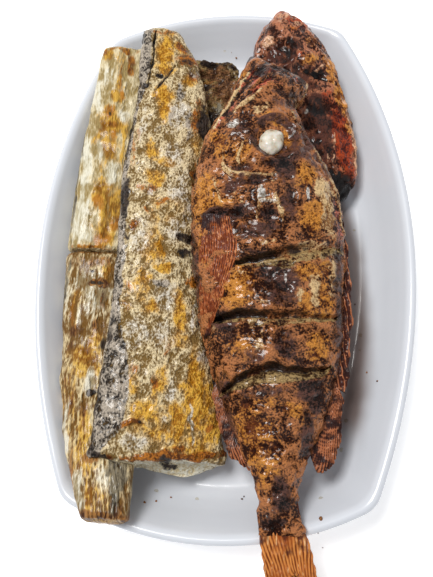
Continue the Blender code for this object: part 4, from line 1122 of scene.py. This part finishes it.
middle_masks = {
    "gold": blots(plan, (
        (-34, 110, 6, 13, 0, 1), (-33, 96, 5, 6, 0, 0.8), (-32.5, 73, 4.6, 12, 0, 1),
        (-26, 113, 3, 6, 30, 0.7), (-18, 90, 4, 5, 0, 0.8), (-38, 42, 4, 6, 0, 0.9),
        (-30, 35, 5, 4, 0, 0.8), (-35, 26, 6, 4, 0, 0.7), (-35, -15, 6, 12, 0, 0.62),
        (-30, -14, 1.8, 5, 0, 1), (-28, -26, 3, 2.6, 0, 1), (-37, -35, 4, 10, 0, 0.6),
        (-33, -48, 4, 4, 0, 0.7), (-18, -46, 3.6, 11, 0, 0.9), (-22, -62, 8, 5, 0, 0.6),
        (-10, -86, 5, 20, 0, 1), (-26, -84, 4, 9, 0, 0.7), (-30, -102, 9, 10, 0, 0.65),
        (-19, -103, 5, 11, 0, 0.85), (-3, -95, 5, 16, 0, 0.85), (-8, -111, 7, 7, 0, 0.9),
        (-38, -84, 3, 6, 0, 0.6), (-16, 48, 3, 8, 0, 0.5), (-26, 8, 5, 8, 0, 0.4), (-44, -42, 3, 8, 0, 0.4),
        (-12, -28, 3, 5, 0, 0.6), (-34, 5, 4, 10, 0, 0.4),
    ), 2.2, 271),
    "white": blots(plan, (
        (-25, 66, 6, 9, 0, 0.6), (-22, 20, 6, 10, 0, 0.6), (-40, -10, 5, 10, 0, 0.55),
        (-40, -60, 6, 8, 0, 0.6), (-28, -60, 6, 8, 0, 0.55), (-24, -3, 5, 8, 0, 0.5),
        (-38, -109, 7, 4, 0, 0.7), (-12, -46, 1.0, 12, -3, 0.9), (-21, -88, 2, 6, 0, 0.7),
        (-12, -103, 0.9, 9, 0, 1), (-26, 40, 5, 8, 0, 0.5), (-44, 60, 3, 14, 0, 0.45),
        (-26, -42, 5, 8, 0, 0.6), (-47, -98, 2, 8, 0, 0.4), (-26, -101, 2, 2, 0, 0.7),
    ), 1.8, 273),
    "brown": np.maximum(blots(plan, (
        (-22, 104, 6, 4, 20, 0.8), (-24, 113, 2, 6, 30, 0.8), (-18, 94, 4, 5, 0, 0.6),
        (-40, 20, 5, 3, 0, 0.6), (-43, -1, 3, 3, 0, 0.8), (-14, 66, 4, 12, 0, 0.8),
        (-16, 30, 2.6, 10, 0, 0.8), (-48, 45, 3, 12, 0, 0.5), (-45, -40, 3, 8, 0, 0.45),
        (-13, -31, 3, 4, 0, 0.7), (-40, -80, 2, 4, 0, 0.5), (-30, -83, 1.6, 1.6, 0, 0.8),
        (-25, -67, 2, 4, 0, 0.6), (-17, -112, 3, 1.6, 0, 0.9), (-36, 122, 9, 1.6, 0, 0.5),
        (-4, -103, 1.6, 3, 0, 0.6), (-30, 12, 4, 2, 0, 0.5), (-37, 8, 3, 3, 0, 0.5),
    ), 1.6, 275), np.maximum(rim * 0.95, flap * 0.85)),
    "steel": np.maximum(band, blots(plan, (
        (-25, 80, 3, 9, 0, 0.7), (-28, 62, 2, 10, 0, 0.5), (-30, -33, 6, 2, 0, 0.7),
        (-36, -3, 4, 8, 0, 0.35), (-18, 60, 2, 14, 0, 0.55), (-19, 96, 4, 4, 0, 0.5),
        (-8, -68, 3, 6, 0, 0.7), (-34, 55, 6, 3, 0, 0.4), (-18, 8, 3, 8, 0, 0.5),
    ), 1.4, 277)),
    # black: char marks, with a line 2 mm wide along the left edge that is painted shade where this length
    # lies over the ones beside it.
    "black": np.maximum(np.maximum(blots(plan, (
        (-37, 91, 2.6, 2, 0, 1), (-17, -7, 5, 3, 0, 0.95), (-19, -15, 3, 3, 0, 0.7),
        (-11, 64, 3.6, 12, 0, 0.9), (-51, 15, 3, 11, 0, 0.9), (-53, 50, 2, 14, 0, 0.7),
        (-57.5, -104, 1.8, 14, 3, 1), (-51, -117, 5, 2.2, -8, 1), (-23, -119.5, 2.6, 3, 0, 0.95),
        (-19, -121, 2.4, 1.4, 0, 0.8), (-34, -101.5, 1.2, 1, 0, 0.9), (-49.5, 118, 1.4, 12, 0, 1),
        (-44, 85, 3, 2, 0, 0.9), (-13, 30, 2, 10, 0, 0.6), (-11, -48, 1.0, 12, 0, 0.5),
        (-48, -7, 1.8, 8, 0, 0.5), (-22, 103, 4, 2, 0, 0.6), (-52, -60, 1.6, 10, 0, 0.5),
    ), 0.9, 279), groove * 0.95), step((2.0 - from_left) / 1.6) * 0.95),
    "flesh": np.maximum(cut * 0.9, below),
}
relief = -1.2 * groove - 0.7 * below + 0.9 * rim + 0.7 * flap - 0.5 * middle_masks["black"]
rings = raised(rings, relief)
silver_look = fried_material("silver_skin_look", (
    (None, (134, 104, 56), (252, 230, 184), 0),
    ("gold", (176, 112, 6), (246, 190, 74), 0.42),
    ("white", (140, 120, 88), (248, 238, 220), 0.42),
    ("brown", (96, 46, 4), (196, 120, 38), 0.3),
    ("steel", (44, 36, 30), (200, 186, 168), 0.3),
    # The flesh colours are lighter than the flesh itself: painted light lifting the shade that the cut end
    # and the tongue under it lie in.
    ("flesh", (228, 208, 164), (254, 248, 226), 0.24),
    ("black", (20, 16, 14), (72, 58, 48), 0.26),
), 0.3, 0.45, 1.1)
rings, middle_masks["high"] = crusted(rings, 281, 0.6, 0.34, 1.3)
middle = skin("cutlass_middle_skin", rings, silver_look, middle_masks)
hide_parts("cutlass_middle")


# ---- crumbs ------------------------------------------------------------------------------------------------
# Bits of crust that broke off the fish, 0.5 to 2 mm across, on the platter's well and rim.
# Most lie in loose groups, and three lie alone. Each is a small lumpy egg.
def platter_height(x, y):
    """Height of the platter's upper face over a point in mm, from its distance in from the nearest side."""
    from_side = SIDE_ARC / MM - np.hypot(np.abs(x) - (PLATTER_WIDTH / 2 - SIDE_ARC) / MM, y)
    from_end = END_ARC / MM - np.hypot(x, np.abs(y) - (PLATTER_LENGTH / 2 - END_ARC) / MM)
    inset = np.minimum(from_side, from_end)
    face = PLATTER_PROFILE[:8][::-1]
    return np.interp(inset, face[:, 0], face[:, 1])


def scattered(centres, radii, around, layers, seed, rough):
    """Points and faces of one small egg at each centre, each with its own lumps."""
    rng = np.random.default_rng(seed)
    egg = ball(np.linspace(0.0, np.pi, layers + 2)[1:-1], around).reshape(-1, 3)
    egg = np.vstack([egg, [[0, 0, 1], [0, 0, -1]]])
    lumpy = 1 + rough * (rng.random((len(centres), len(egg), 1)) - 0.5)
    points = centres[:, None] + egg[None] * radii[:, None] * lumpy
    ring, spoke = np.meshgrid(np.arange(layers - 1), np.arange(around), indexing="ij")
    here, beside_it = ring * around + spoke, ring * around + (spoke + 1) % around
    quads = np.stack([here, here + around, beside_it + around, beside_it], -1).reshape(-1, 4)
    rim_points = np.arange(around)
    after = (rim_points + 1) % around
    last = (layers - 1) * around
    upper = np.column_stack([rim_points, after, np.full(around, len(egg) - 2)])
    lower = np.column_stack([last + after, last + rim_points, np.full(around, len(egg) - 1)])
    shift = (np.arange(len(centres)) * len(egg))[:, None, None]
    faces = [(quads[None] + shift).reshape(-1, 4), (np.vstack([upper, lower])[None] + shift).reshape(-1, 3)]
    return points.reshape(-1, 3), faces


rng = np.random.default_rng(301)
GROUPS = np.array([
    (-28, -134), (12, -128), (40, -146), (66, -80), (70, 60), (72, -20), (-40, 134), (6, 134),
])
GROUPED = 16
LONE_CRUMBS = ((46.5, -140.0), (-34, -136), (24, 134))
LONE_SIZES = (1.0, 0.6, 0.5)
crumb_plan = GROUPS[rng.integers(0, len(GROUPS), GROUPED)] + rng.normal(0, 7.0, (GROUPED, 2))
crumb_plan = np.vstack([crumb_plan, LONE_CRUMBS])
crumb_size = rng.uniform(0.25, 0.6, len(crumb_plan))
crumb_size[-len(LONE_SIZES):] = LONE_SIZES
crumb_z = platter_height(*crumb_plan.T) + crumb_size * 0.5
centres = np.column_stack([crumb_plan, crumb_z]) * MM
radii = crumb_size[:, None] * rng.uniform(0.6, 1.2, (len(crumb_plan), 3)) * MM
crumb_points, crumb_faces = scattered(centres, radii, 8, 4, 303, 0.5)
crumb_look, place = new_material("crumb_look")
finish_material(crumb_look, {
    "Base Color": place.noise(0.004).over(0.5, 0.1).mix(rgb(62, 34, 20), rgb(150, 96, 44)),
    "Roughness": 0.5,
})
show("crumbs", crumb_points, crumb_faces, crumb_look, {})


# ---- frying oil --------------------------------------------------------------------------------------------
# Oil that ran off the fish: flat clear drops the colour of weak tea, less than 0.2 mm thick.
# They lie on the free parts of the well and its wall.
DROPS = np.array([
    (-30, -131), (56, -104), (59, -101), (60, -110), (-10, -134), (72, -60), (73, -52), (74, 10),
    (-2, 138), (24, -134), (48, -132), (63, -96),
], float)
DROP_HEIGHT = 0.09  # half a drop's thickness, mm
oil_size = rng.uniform(0.6, 1.4, (len(DROPS), 1)) * np.array([[1.0, 0.8, 0.0]])
oil_size[:, 2] = DROP_HEIGHT
centres = np.column_stack([DROPS, platter_height(*DROPS.T) + 0.08]) * MM
oil_points, oil_faces = scattered(centres, oil_size * MM, 20, 5, 305, 0.12)
oil_look, place = new_material("oil_look")
finish_material(oil_look, {
    "Base Color": rgb(214, 196, 150),
    "Roughness": 0.04,
    "Transmission Weight": 1.0,
    "IOR": 1.3,
    "Alpha": 0.3,
})
show("oil", oil_points, oil_faces, oil_look, {})


# ---- floor, light and camera -------------------------------------------------------------------------------
# A plain white table, one large soft lamp above and to the left, and even room light. The camera looks
# steeply down from in front.
floor_mesh = bpy.data.meshes.new("floor")
floor_mesh.from_pydata([(-3, -3, 0), (3, -3, 0), (3, 3, 0), (-3, 3, 0)], [], [(0, 1, 2, 3)])
floor = bpy.data.objects.new("floor", floor_mesh)
bpy.context.scene.collection.objects.link(floor)
table_look, place = new_material("table_look")
finish_material(table_look, {
    "Base Color": place.noise(0.2, 2.0).mix(rgb(250, 250, 250), rgb(253, 253, 253)),
    "Roughness": 0.9,
    "Specular IOR Level": 0.1,
    "Emission Color": rgb(255, 255, 255),
    "Emission Strength": 0.4,
})
floor_mesh.materials.append(table_look)

LAMP_PLACE = Vector((-0.30, 0.19, 0.95))
LAMP_TARGET = Vector((0.0, 0.0, 0.02))
lamp = bpy.data.lights.new("key", "AREA")
lamp.size = 0.36
lamp.energy = 7.6
lamp.color = (1.0, 0.985, 0.96)
lamp_obj = bpy.data.objects.new("key", lamp)
lamp_obj.location = LAMP_PLACE
lamp_obj.rotation_euler = (LAMP_TARGET - LAMP_PLACE).to_track_quat("-Z", "Y").to_euler()
bpy.context.scene.collection.objects.link(lamp_obj)
world = bpy.data.worlds.new("room")
world.use_nodes = True
room = world.node_tree.nodes["Background"]
room.inputs["Color"].default_value = (0.96, 0.975, 1.0, 1.0)
room.inputs["Strength"].default_value = 0.42
bpy.context.scene.world = world
bpy.context.scene.view_settings.view_transform = "Standard"

CAMERA_PLACE = (0.0201, -0.1258, 0.2747)
CAMERA_TURN = (20.44, 4.48, 1.48)  # degrees: tilt, roll and heading
camera = bpy.data.cameras.new("camera")
camera.lens = 32.44
camera.clip_start = 0.01
camera_obj = bpy.data.objects.new("camera", camera)
camera_obj.location = CAMERA_PLACE
camera_obj.rotation_euler = np.radians(CAMERA_TURN)
bpy.context.scene.collection.objects.link(camera_obj)
bpy.context.scene.camera = camera_obj
